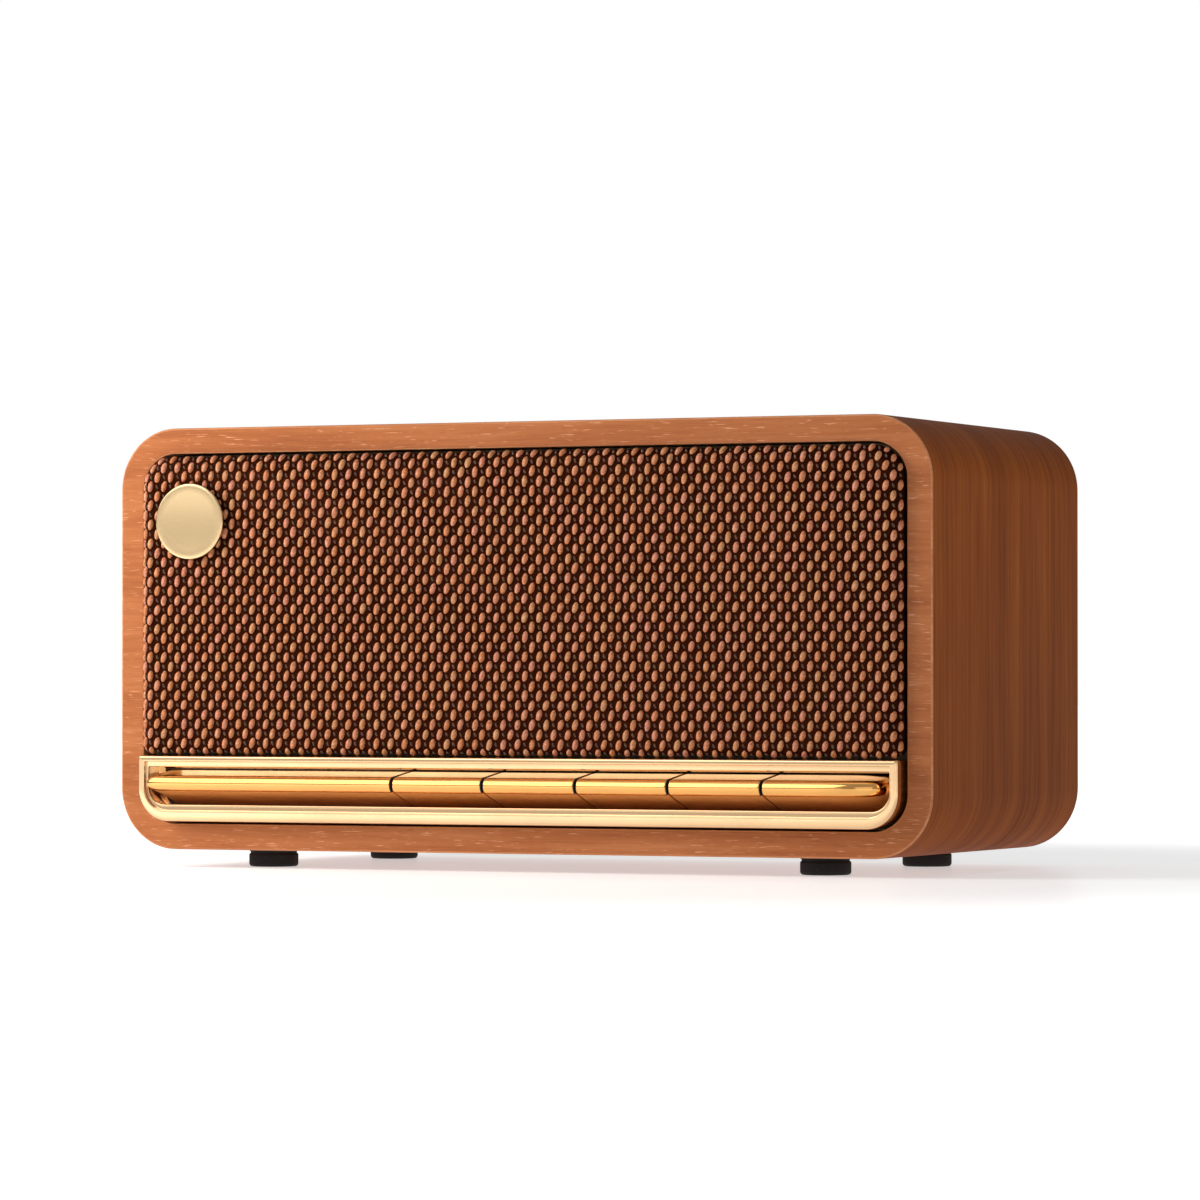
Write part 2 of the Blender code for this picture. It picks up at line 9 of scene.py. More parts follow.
import bmesh
import bpy
import numpy as np
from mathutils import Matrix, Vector


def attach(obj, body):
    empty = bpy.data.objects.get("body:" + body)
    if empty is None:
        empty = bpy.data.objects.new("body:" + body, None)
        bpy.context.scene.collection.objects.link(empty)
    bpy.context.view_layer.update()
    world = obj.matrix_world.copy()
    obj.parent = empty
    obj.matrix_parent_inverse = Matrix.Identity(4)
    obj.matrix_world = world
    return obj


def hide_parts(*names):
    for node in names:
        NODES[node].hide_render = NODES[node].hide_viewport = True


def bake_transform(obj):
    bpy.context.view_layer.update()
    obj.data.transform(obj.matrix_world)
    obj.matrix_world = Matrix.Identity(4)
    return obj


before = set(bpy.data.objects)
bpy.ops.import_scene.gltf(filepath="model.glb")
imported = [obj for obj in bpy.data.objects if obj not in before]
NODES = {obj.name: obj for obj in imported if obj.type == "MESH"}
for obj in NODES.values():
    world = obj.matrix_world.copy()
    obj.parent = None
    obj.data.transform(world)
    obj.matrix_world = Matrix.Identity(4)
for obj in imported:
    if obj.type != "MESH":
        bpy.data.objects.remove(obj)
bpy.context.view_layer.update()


MM = 0.001
FRONT_Y = -59.0

# ---------------------------------------------------------------- dimensions (mm)
HALF, LOW, HIGH = 134.0, 5.5, 135.0
CORNER, WALL, DEPTH = 18.8, 7.9, 126.0
BEZEL_HALF, BEZEL_LOW, BEZEL_HIGH = 125.1, 14.2, 34.4
KEY_SEAMS = (-37.1, -6.9, 23.6, 53.5, 83.3)
KEY_NAMES = ("key_power", "key_source", "key_volume_down", "key_play_pause", "key_volume_up")
BAR_HALF = 121.5
NOSE_P, NOSE_Z, NOSE_R = 5.6, 25.9, 2.4
BAR_MIDDLE_Z = 25.4
PIVOT_P, PIVOT_Z = -30.0, 26.0
SHEET_HALF, SHEET_LOW, SHEET_HIGH = 124.95, 35.5, 125.95
SHEET_P = 3.75
ROLL, ROLL_LOW = 3.8, 1.9
BADGE_X, BADGE_Z, BADGE_R = -106.8, 106.1, 11.6
PORT_X, PORT_Z = 0.0, 86.0
SCREW_X = 134.0 - 7.9 - 0.3 - 4.3
DRIVER_X, DRIVER_Z = 72.0, 80.9


def point(x, p, z):
    return (x * MM, (FRONT_Y - p) * MM, z * MM)


# ---------------------------------------------------------------- materials
class Look:
    """A node material in the making: small helpers, so that each recipe below reads as one."""

    def __init__(self, name, **shader):
        self.m = bpy.data.materials.new(name)
        self.m.use_nodes = True
        self.t = self.m.node_tree
        self.t.nodes.clear()
        self.out = self.t.nodes.new("ShaderNodeOutputMaterial")
        self.b = self.t.nodes.new("ShaderNodeBsdfPrincipled")
        self.t.links.new(self.b.outputs[0], self.out.inputs["Surface"])
        for key, value in shader.items():
            self.b.inputs[key.replace("_", " ")].default_value = value

    def put(self, socket, value):
        if hasattr(value, "is_output"):
            self.t.links.new(value, socket)
        elif value is not None:
            if socket.type == "RGBA" and len(value) == 3:
                value = (*value, 1.0)
            socket.default_value = value

    def node(self, kind, inputs=None, **props):
        n = self.t.nodes.new(kind)
        for key, value in props.items():
            setattr(n, key, value)
        for key, value in (inputs or {}).items():
            self.put(n.inputs[key], value)
        return n

    def coords(self):
        return self.node("ShaderNodeTexCoord").outputs["Object"]

    def uv(self, name):
        return self.node("ShaderNodeUVMap", uv_map=name).outputs["UV"]

    def attribute(self, name):
        return self.node("ShaderNodeAttribute", attribute_name=name).outputs["Fac"]

    def plane(self, a, b, c=None):
        """Object coordinates with the axes reordered, for instance 'X', 'Z'."""
        parts = self.node("ShaderNodeSeparateXYZ", {0: self.coords()}).outputs
        made = self.node("ShaderNodeCombineXYZ", {0: parts[a], 1: parts[b]})
        if c:
            self.put(made.inputs[2], parts[c])
        return made.outputs[0]

    def scaled(self, vector, scale, shift=(0.0, 0.0, 0.0)):
        return self.node("ShaderNodeMapping", {"Vector": vector, "Scale": scale, "Location": shift}).outputs[0]

    def noise(self, vector, scale=1.0, detail=3.0, rough=0.55, distort=0.0):
        n = self.node(
            "ShaderNodeTexNoise",
            {"Vector": vector, "Scale": scale, "Detail": detail, "Roughness": rough, "Distortion": distort},
        )
        return n.outputs["Fac"]

    def ramp(self, fac, stops, kind="LINEAR"):
        n = self.node("ShaderNodeValToRGB", {"Fac": fac})
        n.color_ramp.interpolation = kind
        e = n.color_ramp.elements
        while len(e) < len(stops):
            e.new(0.5)
        for i, (at, colour) in enumerate(stops):
            e[i].position = at
            e[i].color = (*colour, 1.0) if len(colour) == 3 else colour
        return n.outputs["Color"]

    def grey(self, fac, low, high, a=0.0, b=1.0):
        """Maps low..high of a value to a..b, smoothly and clamped."""
        n = self.node(
            "ShaderNodeMapRange",
            {"Value": fac, "From Min": low, "From Max": high, "To Min": a, "To Max": b},
            interpolation_type="SMOOTHSTEP",
        )
        return n.outputs["Result"]

    def math(self, how, a, b=None, c=None):
        n = self.node("ShaderNodeMath", operation=how)
        for i, value in enumerate((a, b, c)):
            if value is not None:
                self.put(n.inputs[i], value)
        return n.outputs[0]

    def mix(self, fac, a, b, blend="MIX"):
        n = self.node("ShaderNodeMix", data_type="RGBA", blend_type=blend)
        self.put(n.inputs[0], fac)
        self.put(n.inputs[6], a)
        self.put(n.inputs[7], b)
        return n.outputs[2]

    def bump(self, height, strength=0.5, distance=0.0001, normal=None):
        n = self.node("ShaderNodeBump", {"Height": height, "Strength": strength, "Distance": distance})
        if normal is not None:
            self.put(n.inputs["Normal"], normal)
        return n.outputs[0]

    def done(self, colour=None, rough=None, normal=None):
        if colour is not None:
            self.put(self.b.inputs["Base Color"], colour)
        if rough is not None:
            self.put(self.b.inputs["Roughness"], rough)
        if normal is not None:
            self.put(self.b.inputs["Normal"], normal)
        return self.m


def wood(name, wrapped, dark, mid, light, pore, fleck, pores=1.0, flecks=1.0, seed=0.0, long=1.0, rough=0.40, broad=0.007, spec=0.25):
    """Fine straight-grained veneer. Wrapped grain follows the tube's outline, and the rest runs along X."""
    k = Look(name, IOR=1.5, Specular_IOR_Level=spec)
    base = k.uv("wrap") if wrapped else k.plane("X", "Z", "Y")
    # the grain wanders a little across its own run
    drift = k.noise(k.scaled(base, (12.0, 40.0, 1.0), (seed, 0, 0)), 1.0, 2.0)
    offset = k.math("MULTIPLY", k.math("SUBTRACT", drift, 0.5), 0.0035)
    parts = k.node("ShaderNodeSeparateXYZ", {0: base}).outputs
    base = k.node("ShaderNodeCombineXYZ", {0: parts[0], 1: k.math("ADD", parts[1], offset), 2: seed}).outputs[0]
    tone = k.noise(k.scaled(base, (1 / (0.07 * long), 1 / broad, 1.0)), 1.0, 3.0)
    rings = k.noise(k.scaled(base, (1 / (0.10 * long), 1 / 0.0022, 1.0), (3.1, 0, 0)), 1.0, 2.0)
    fibre = k.noise(k.scaled(base, (1 / (0.012 * long), 1 / 0.00042, 1.0), (7.7, 0, 0)), 1.0, 4.0, 0.6)
    short = k.noise(k.scaled(base, (1 / (0.0052 * long), 1 / 0.00040, 1.0), (11.0, 0, 0)), 1.0, 2.0, 0.5)
    fine = k.noise(k.scaled(base, (1 / (0.0036 * long), 1 / 0.00026, 1.0), (23.0, 0, 0)), 1.0, 2.0, 0.5)
    blend = k.math("ADD", k.math("MULTIPLY", tone, 0.45), k.math("MULTIPLY", rings, 0.25))
    blend = k.math("ADD", blend, k.math("MULTIPLY", fibre, 0.30))
    colour = k.ramp(blend, [(0.34, dark), (0.50, mid), (0.66, light)])
    colour = k.mix(k.grey(short, 0.63, 0.72, 0.0, 0.55 * flecks), colour, fleck)
    colour = k.mix(k.grey(fine, 0.34, 0.24, 0.0, 0.60 * pores), colour, pore)
    sheen = k.grey(fibre, 0.3, 0.7, rough + 0.05, rough - 0.04)
    relief = k.math("ADD", k.math("MULTIPLY", fibre, 0.5), k.grey(fine, 0.24, 0.36))
    return k.done(colour, sheen, k.bump(relief, 0.35, 0.00006))


def gold(name, tint, rough, spread=0.03, brushed=False):
    """Lacquered plating: the roughness varies, and so does the tone, a little."""
    k = Look(name, Metallic=1.0, Coat_Weight=0.7, Coat_Roughness=0.12)
    co = k.coords()
    cloud = k.noise(co, 55.0, 3.0)
    haze = k.noise(co, 420.0, 2.0)
    value = k.math("ADD", k.math("MULTIPLY", cloud, 0.7), k.math("MULTIPLY", haze, 0.3))
    darker = tuple(c * 0.93 for c in tint)
    colour = k.mix(k.grey(cloud, 0.3, 0.7), tint, darker)
    return k.done(colour, k.grey(value, 0.3, 0.7, rough - spread, rough + spread))


def lacquer(name, tint):
    """The keys' underside: a warm satin lacquer in place of the mirror plating, its copper colour a painted reflection
    of the plated flank.
    """
    k = Look(name, Metallic=0.15, Coat_Weight=0.15, Coat_Roughness=0.25)
    cloud = k.noise(k.coords(), 70.0, 3.0)
    colour = k.mix(k.grey(cloud, 0.3, 0.7), tint, tuple(c * 0.9 for c in tint))
    return k.done(colour, k.grey(cloud, 0.3, 0.7, 0.38, 0.46))


def satin_disc(name, tint):
    """Fine blasted satin with a trace of turning marks round the disc's own axis."""
    k = Look(name, Metallic=1.0)
    parts = k.node("ShaderNodeSeparateXYZ", {0: k.coords()}).outputs
    dx = k.math("SUBTRACT", parts[0], BADGE_X * MM)
    dz = k.math("SUBTRACT", parts[2], BADGE_Z * MM)
    r = k.math("SQRT", k.math("ADD", k.math("MULTIPLY", dx, dx), k.math("MULTIPLY", dz, dz)))
    rings = k.noise(k.node("ShaderNodeCombineXYZ", {0: k.math("MULTIPLY", r, 9000.0)}).outputs[0], 1.0, 2.0)
    grain = k.noise(k.coords(), 9000.0, 2.0)
    colour = k.mix(k.grey(rings, 0.3, 0.7), tint, tuple(c * 0.95 for c in tint))
    height = k.math("ADD", k.math("MULTIPLY", rings, 0.5), k.math("MULTIPLY", grain, 0.5))
    return k.done(colour, k.grey(grain, 0.3, 0.7, 0.17, 0.23), k.bump(height, 0.08, 0.00001))


def yarn(name, stops, rough=0.55, fibre=0.35, sheen=0.0, spec=0.4, fuzz=0.0):
    """Twisted yarn: each bead has its own tone, and fine filaments run slantwise along it."""
    k = Look(name, Specular_IOR_Level=spec, Sheen_Weight=sheen, Sheen_Roughness=0.4)
    co = k.plane("X", "Z", "Y")
    slant = k.node("ShaderNodeVectorRotate", {"Vector": co, "Angle": math.radians(-38)}, rotation_type="Z_AXIS").outputs[0]
    filament = k.noise(k.scaled(slant, (900.0, 7000.0, 900.0)), 1.0, 2.0)
    cloud = k.noise(co, 900.0, 2.0)
    colour = k.ramp(k.attribute("tone"), stops)
    colour = k.mix(k.grey(filament, 0.35, 0.65, 0.0, fibre), colour, (0.05, 0.015, 0.006), "MULTIPLY")
    colour = k.mix(k.grey(cloud, 0.45, 0.70, 0.0, fuzz), colour, (0.85, 0.55, 0.38))
    return k.done(colour, k.grey(cloud, 0.3, 0.7, rough - 0.08, rough + 0.08), k.bump(filament, 0.5, 0.00012))


def moulded(name, tint, rough, grain=2600.0, depth=0.00004, spec=0.5):
    """Moulded plastic or rubber with a fine spark-eroded texture."""
    k = Look(name, Specular_IOR_Level=spec)
    co = k.coords()
    fine = k.noise(co, grain, 3.0)
    cloud = k.noise(co, 70.0, 3.0)
    colour = k.mix(k.grey(cloud, 0.35, 0.65), tint, tuple(min(1.0, c * 1.35 + 0.002) for c in tint))
    return k.done(colour, k.grey(fine, 0.3, 0.7, rough - 0.07, rough + 0.07), k.bump(fine, 0.45, depth))


def steel(name, tint, rough, axis=(3000.0, 200.0, 3000.0)):
    k = Look(name, Metallic=1.0)
    co = k.coords()
    brush = k.noise(k.scaled(co, axis), 1.0, 3.0)
    cloud = k.noise(co, 120.0, 4.0)
    colour = k.mix(k.grey(cloud, 0.4, 0.65), tint, tuple(c * 0.82 for c in tint))
    return k.done(colour, k.grey(cloud, 0.3, 0.7, rough - 0.06, rough + 0.1), k.bump(brush, 0.2, 0.00002))


def fibreboard(name):
    k = Look(name)
    co = k.coords()
    chips = k.noise(k.scaled(co, (600.0, 600.0, 600.0)), 1.0, 5.0, 0.65)
    specks = k.noise(co, 2200.0, 2.0)
    colour = k.ramp(chips, [(0.3, (0.16, 0.095, 0.05)), (0.55, (0.30, 0.19, 0.11)), (0.75, (0.42, 0.29, 0.18))])
    colour = k.mix(k.grey(specks, 0.66, 0.74, 0.0, 0.6), colour, (0.09, 0.05, 0.03))
    return k.done(colour, k.grey(chips, 0.3, 0.7, 0.75, 0.9), k.bump(chips, 0.4, 0.00015))


def circuit(name):
    """Green solder mask over straight copper tracks, with bare tinned pads."""
    k = Look(name, Specular_IOR_Level=0.5)
    co = k.plane("X", "Y", "Z")
    tracks = k.node(
        "ShaderNodeTexBrick",
        {"Vector": k.scaled(co, (1.0, 1.0, 0.0)), "Scale": 260.0, "Mortar Size": 0.06, "Mortar Smooth": 0.3, "Color1": (0, 0, 0, 1), "Color2": (0.3, 0.3, 0.3, 1), "Mortar": (1, 1, 1, 1)},
    ).outputs["Fac"]
    pads = k.node("ShaderNodeTexVoronoi", {"Vector": k.scaled(co, (1.0, 1.0, 0.0)), "Scale": 330.0, "Randomness": 0.55}).outputs["Distance"]
    mask = k.noise(co, 90.0, 3.0)
    colour = k.mix(k.grey(mask, 0.35, 0.65), (0.008, 0.085, 0.035), (0.012, 0.12, 0.05))
    colour = k.mix(k.math("MULTIPLY", tracks, 0.7), colour, (0.03, 0.20, 0.08))
    colour = k.mix(k.grey(pads, 0.16, 0.12), colour, (0.55, 0.52, 0.46))
    return k.done(colour, k.grey(pads, 0.12, 0.16, 0.3, 0.42), k.bump(tracks, 0.3, 0.00004))


def winding(name):
    """Enamelled copper wire, one fine ring beside the other along Y."""
    k = Look(name, Metallic=1.0)
    y = k.node("ShaderNodeSeparateXYZ", {0: k.coords()}).outputs[1]
    turns = k.math("SINE", k.math("MULTIPLY", y, 2 * math.pi / 0.00022))
    cloud = k.noise(k.coords(), 400.0, 2.0)
    # the grooves between the turns are darker: painted shade
    colour = k.mix(k.grey(turns, -1.0, 0.4), (0.22, 0.05, 0.02), (0.80, 0.33, 0.15))
    return k.done(colour, k.grey(cloud, 0.3, 0.7, 0.28, 0.4), k.bump(turns, 0.6, 0.00008))


def paper(name):
    """Pressed dark pulp with short fibres."""
    k = Look(name, Specular_IOR_Level=0.25)
    co = k.coords()
    fibres = k.noise(k.scaled(co, (1500.0, 500.0, 900.0)), 1.0, 5.0, 0.7, 0.8)
    cloud = k.noise(co, 160.0, 3.0)
    colour = k.ramp(k.math("ADD", k.math("MULTIPLY", fibres, 0.6), k.math("MULTIPLY", cloud, 0.4)), [(0.35, (0.012, 0.012, 0.013)), (0.65, (0.05, 0.048, 0.046))])
    return k.done(colour, k.grey(fibres, 0.3, 0.7, 0.78, 0.92), k.bump(fibres, 0.5, 0.00012))


def wrap_film(name):
    """Shrunk blue film: glossy, slightly puckered along the cells."""
    k = Look(name, Coat_Weight=0.4, Coat_Roughness=0.12)
    co = k.coords()
    pucker = k.noise(k.scaled(co, (60.0, 400.0, 400.0)), 1.0, 3.0, 0.5, 0.6)
    cloud = k.noise(co, 50.0, 2.0)
    colour = k.mix(k.grey(cloud, 0.35, 0.65), (0.012, 0.06, 0.24), (0.02, 0.09, 0.32))
    return k.done(colour, k.grey(pucker, 0.3, 0.7, 0.28, 0.42), k.bump(pucker, 0.35, 0.0002))


def stained_board(name):
    """The back: dark stained board with a fine open grain that runs across."""
    k = Look(name)
    base = k.plane("X", "Z", "Y")
    fibre = k.noise(k.scaled(base, (60.0, 1500.0, 1.0)), 1.0, 4.0, 0.6)
    band = k.noise(k.scaled(base, (8.0, 110.0, 1.0), (5.0, 0, 0)), 1.0, 3.0)
    pores = k.noise(k.scaled(base, (160.0, 2600.0, 1.0), (2.0, 0, 0)), 1.0, 2.0)
    blend = k.math("ADD", k.math("MULTIPLY", fibre, 0.5), k.math("MULTIPLY", band, 0.5))
    colour = k.ramp(blend, [(0.35, (0.022, 0.012, 0.008)), (0.5, (0.045, 0.024, 0.015)), (0.65, (0.075, 0.040, 0.024))])
    colour = k.mix(k.grey(pores, 0.33, 0.25, 0.0, 0.8), colour, (0.008, 0.004, 0.003))
    relief = k.math("ADD", k.math("MULTIPLY", fibre, 0.5), k.grey(pores, 0.24, 0.36))
    return k.done(colour, k.grey(fibre, 0.3, 0.7, 0.5, 0.62), k.bump(relief, 0.4, 0.0001))


FRONT_WOOD = wood("veneer_front", False, (0.290, 0.082, 0.024), (0.398, 0.127, 0.040), (0.485, 0.176, 0.064), (0.22, 0.052, 0.016), (0.70, 0.34, 0.18), pores=1.1, flecks=1.3, seed=1.3, rough=0.44, spec=0.16)
# the wrapped veneer: its own grain and tone, made darker and more saturated than the front with painted shade
SIDE_WOOD_WITH_PAINTED_SHADE = wood("veneer_side_with_painted_shade", True, (0.150, 0.032, 0.003), (0.262, 0.062, 0.007), (0.370, 0.100, 0.014), (0.10, 0.022, 0.006), (0.50, 0.19, 0.07), pores=1.1, flecks=0.25, seed=4.2, long=2.6, rough=0.46, broad=0.011, spec=0.02)
# the rounded edges: lighter than the front, a painted highlight along them
EDGE_WOOD_PAINTED_HIGHLIGHT = wood("veneer_edge_painted_highlight", False, (0.40, 0.135, 0.05), (0.52, 0.20, 0.078), (0.64, 0.29, 0.125), (0.30, 0.085, 0.03), (0.75, 0.38, 0.18), pores=0.5, flecks=1.0, seed=2.6, rough=0.36)
INSIDE_WOOD = wood("veneer_inside", False, (0.28, 0.13, 0.06), (0.40, 0.20, 0.10), (0.50, 0.28, 0.15), (0.18, 0.07, 0.03), (0.60, 0.36, 0.2), seed=8.8, rough=0.7)
GOLD = gold("gold_polished", (0.76, 0.50, 0.26), 0.10)
GOLD_BAR = gold("gold_keys", (0.84, 0.425, 0.110), 0.11)
# the keys' underside flank: a diffuse copper colour, a painted reflection in place of the plating's mirror
GOLD_UNDER_PAINTED_REFLECTION = lacquer("gold_keys_underside_painted_reflection", (0.84, 0.32, 0.080))
SATIN = satin_disc("gold_satin", (0.73, 0.53, 0.29))
BEAD = yarn("weave_bead", [(0.0, (0.66, 0.220, 0.118)), (0.35, (0.67, 0.235, 0.095)), (0.65, (0.64, 0.205, 0.060)), (1.0, (0.63, 0.275, 0.10))], 0.42, 0.55, 0.0, 0.5, 0.22)
THREAD = yarn("weave_thread", [(0.0, (0.10, 0.048, 0.026)), (0.5, (0.12, 0.055, 0.036)), (1.0, (0.095, 0.060, 0.030))], 0.6, 0.3, 0.0, 0.25, 0.08)
BACKING = yarn("weave_backing", [(0.0, (0.030, 0.006, 0.002)), (1.0, (0.045, 0.010, 0.004))], 0.9, 0.5, 0.0, 0.0)
RUBBER = moulded("rubber_black", (0.012, 0.011, 0.010), 0.72, 1800.0, 0.00006, 0.35)
# black plastic, also laid on the key faces inside each seam as painted shade in the gap
PLASTIC_AND_SEAM_SHADE = moulded("plastic_black_and_seam_shade", (0.016, 0.015, 0.015), 0.45)
DARK = moulded("plastic_satin", (0.010, 0.010, 0.010), 0.32, 4000.0, 0.00002)
ZINC = steel("steel_zinc", (0.62, 0.61, 0.58), 0.32)
BLACK_STEEL = steel("steel_blackened", (0.06, 0.058, 0.056), 0.38)
ALUMINIUM = steel("aluminium", (0.74, 0.74, 0.75), 0.34, (200.0, 3000.0, 3000.0))
FERRITE = moulded("ferrite", (0.045, 0.045, 0.048), 0.6, 3200.0, 0.00008)
MDF = fibreboard("fibreboard")
BOARD = circuit("circuit_board")
COPPER = winding("copper_winding")
PAPER = paper("cone_paper")
FILM = wrap_film("battery_wrap")
PANEL = stained_board("stained_panel")


# ---------------------------------------------------------------- mesh building
class Shape:
    """Closed shells gathered into one mesh, with a material and a UV for each face corner."""

    def __init__(self):
        self.v, self.f, self.m, self.uv = [], [], [], []

    def loops(self, loops, ring=False, mats=0, uv=None, columns=None):
        """Joins loops of equal length. mats is one material for all, or one for each row, and columns overrides it along some columns."""
        start = len(self.v)
        n = len(loops[0])
        for loop in loops:
            self.v.extend(loop)
        rows = len(loops)
        for i in range(rows if ring else rows - 1):
            a, b = start + i * n, start + ((i + 1) % rows) * n
            mat = mats if isinstance(mats, int) else mats[i]
            for j in range(n):
                j2 = (j + 1) % n
                self.f.append((a + j, b + j, b + j2, a + j2))
                self.m.append(columns.get(j, mat) if columns else mat)
                if uv is not None:
                    u, w = uv
                    v0, v1 = w[i], w[i + 1] if i + 1 < len(w) else w[i]
                    self.uv.append(((u[j], v0), (u[j], v1), (u[j + 1], v1), (u[j + 1], v0)))
                else:
                    self.uv.append(None)
        if not ring:
            for k in (0, rows - 1):
                a = start + k * n
                self.f.append(tuple(range(a, a + n)))
                self.m.append(mats if isinstance(mats, int) else mats[0 if k == 0 else -1])
                self.uv.append(None)
        return self

    def turned(self, profile, x=0.0, z=0.0, upright=False, y=0.0, ring=False, steps=96, mats=0, wobble=None):
        """Turns (radius, position) pairs round an axis along Y at x, z, with positions as P, or upright at x, y."""
        start, rows = len(self.v), []
        for r, t in profile:
            row = []
            for i in range(steps if r > 0 else 1):
                a = 2 * math.pi * i / steps
                rr, tt = r, t
                if wobble and r > 0:
                    rr, tt = wobble(r, t, a)
                u, w = rr * math.cos(a), rr * math.sin(a)
                row.append(len(self.v))
                self.v.append(((x + u) * MM, (y + w) * MM, tt * MM) if upright else point(x + u, tt, z + w))
            rows.append(row)
        pairs = list(zip(rows, rows[1:]))
        if ring:
            pairs.append((rows[-1], rows[0]))
        for k, (a, b) in enumerate(pairs):
            for i in range(steps):
                j = (i + 1) % steps
                corners = list(dict.fromkeys((a[i % len(a)], b[i % len(b)], b[j % len(b)], a[j % len(a)])))
                if len(corners) > 2:
                    self.f.append(tuple(corners))
                    self.m.append(mats if isinstance(mats, int) else mats[k])
                    self.uv.append(None)
        return start

    def block(self, x0, x1, p0, p1, z0, z1, r=0.3, mat=0, steps=4):
        """A box with rounded edges, lying between p0 (front) and p1 (back)."""
        def outline(inset):
            return rounded(x0 + inset, x1 - inset, z0 + inset, z1 - inset, max(r - inset, 0.02), steps)
        loops = []
        for k in range(steps):
            a = math.radians(90 * k / (steps - 1))
            loops.append(at(outline(r * (1 - math.sin(a))), p0 - r * (1 - math.cos(a))))
        for k in reversed(range(steps)):
            a = math.radians(90 * k / (steps - 1))
            loops.append(at(outline(r * (1 - math.sin(a))), p1 + r * (1 - math.cos(a))))
        return self.loops(loops, mats=mat)

    def build(self, name, materials, body, replaces=(), slot=None, angle=35.0, recalc=True):
        mesh = bpy.data.meshes.new(name)
        mesh.from_pydata([tuple(v) for v in self.v], [], self.f)
        for m in materials:
            mesh.materials.append(m)
        mesh.polygons.foreach_set("material_index", self.m)
        if any(u is not None for u in self.uv):
            layer = mesh.uv_layers.new(name="wrap")
            for poly, uv in zip(mesh.polygons, self.uv):
                if uv is not None:
                    for loop, value in zip(poly.loop_indices, uv):
                        layer.data[loop].uv = value
        if recalc:
            bm = bmesh.new()
            bm.from_mesh(mesh)
            bmesh.ops.recalc_face_normals(bm, faces=bm.faces)
            bm.to_mesh(mesh)
            bm.free()
        mesh.shade_smooth()
        mesh.set_sharp_from_angle(angle=math.radians(angle))
        obj = bpy.data.objects.new(name, mesh)
        bpy.context.scene.collection.objects.link(obj)
        if body:
            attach(obj, body)
        if replaces:
            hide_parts(*replaces)
        return obj


def rounded(x0, x1, z0, z1, radii, steps=9, straight=1):
    """A rounded rectangle as (x, z) points from the bottom left corner on, each straight side cut into equal lengths."""
    if not isinstance(radii, tuple):
        radii = (radii,) * 4
    out = []
    corners = ((x0, z0, 1, 1, 180), (x1, z0, -1, 1, 270), (x1, z1, -1, -1, 0), (x0, z1, 1, -1, 90))
    for (cx, cz, sx, sz, start), r in zip(corners, radii):
        r = max(r, 0.02)
        for i in range(steps):
            a = math.radians(start + 90.0 * i / (steps - 1))
            out.append((cx + sx * r + r * math.cos(a), cz + sz * r + r * math.sin(a)))
    if straight > 1:
        full = []
        n = len(out)
        for i, (x, z) in enumerate(out):
            full.append((x, z))
            if i % steps == steps - 1:
                nx, nz = out[(i + 1) % n]
                for s in range(1, straight):
                    full.append((x + (nx - x) * s / straight, z + (nz - z) * s / straight))
        out = full
    return out


def at(outline, p):
    return [point(x, p, z) for x, z in outline]


def fillet(r, n, start, end):
    """(across, along) pairs of a quarter round of radius r, in n steps."""
    return [(r * math.cos(math.radians(start + (end - start) * i / n)), r * math.sin(math.radians(start + (end - start) * i / n))) for i in range(n + 1)]


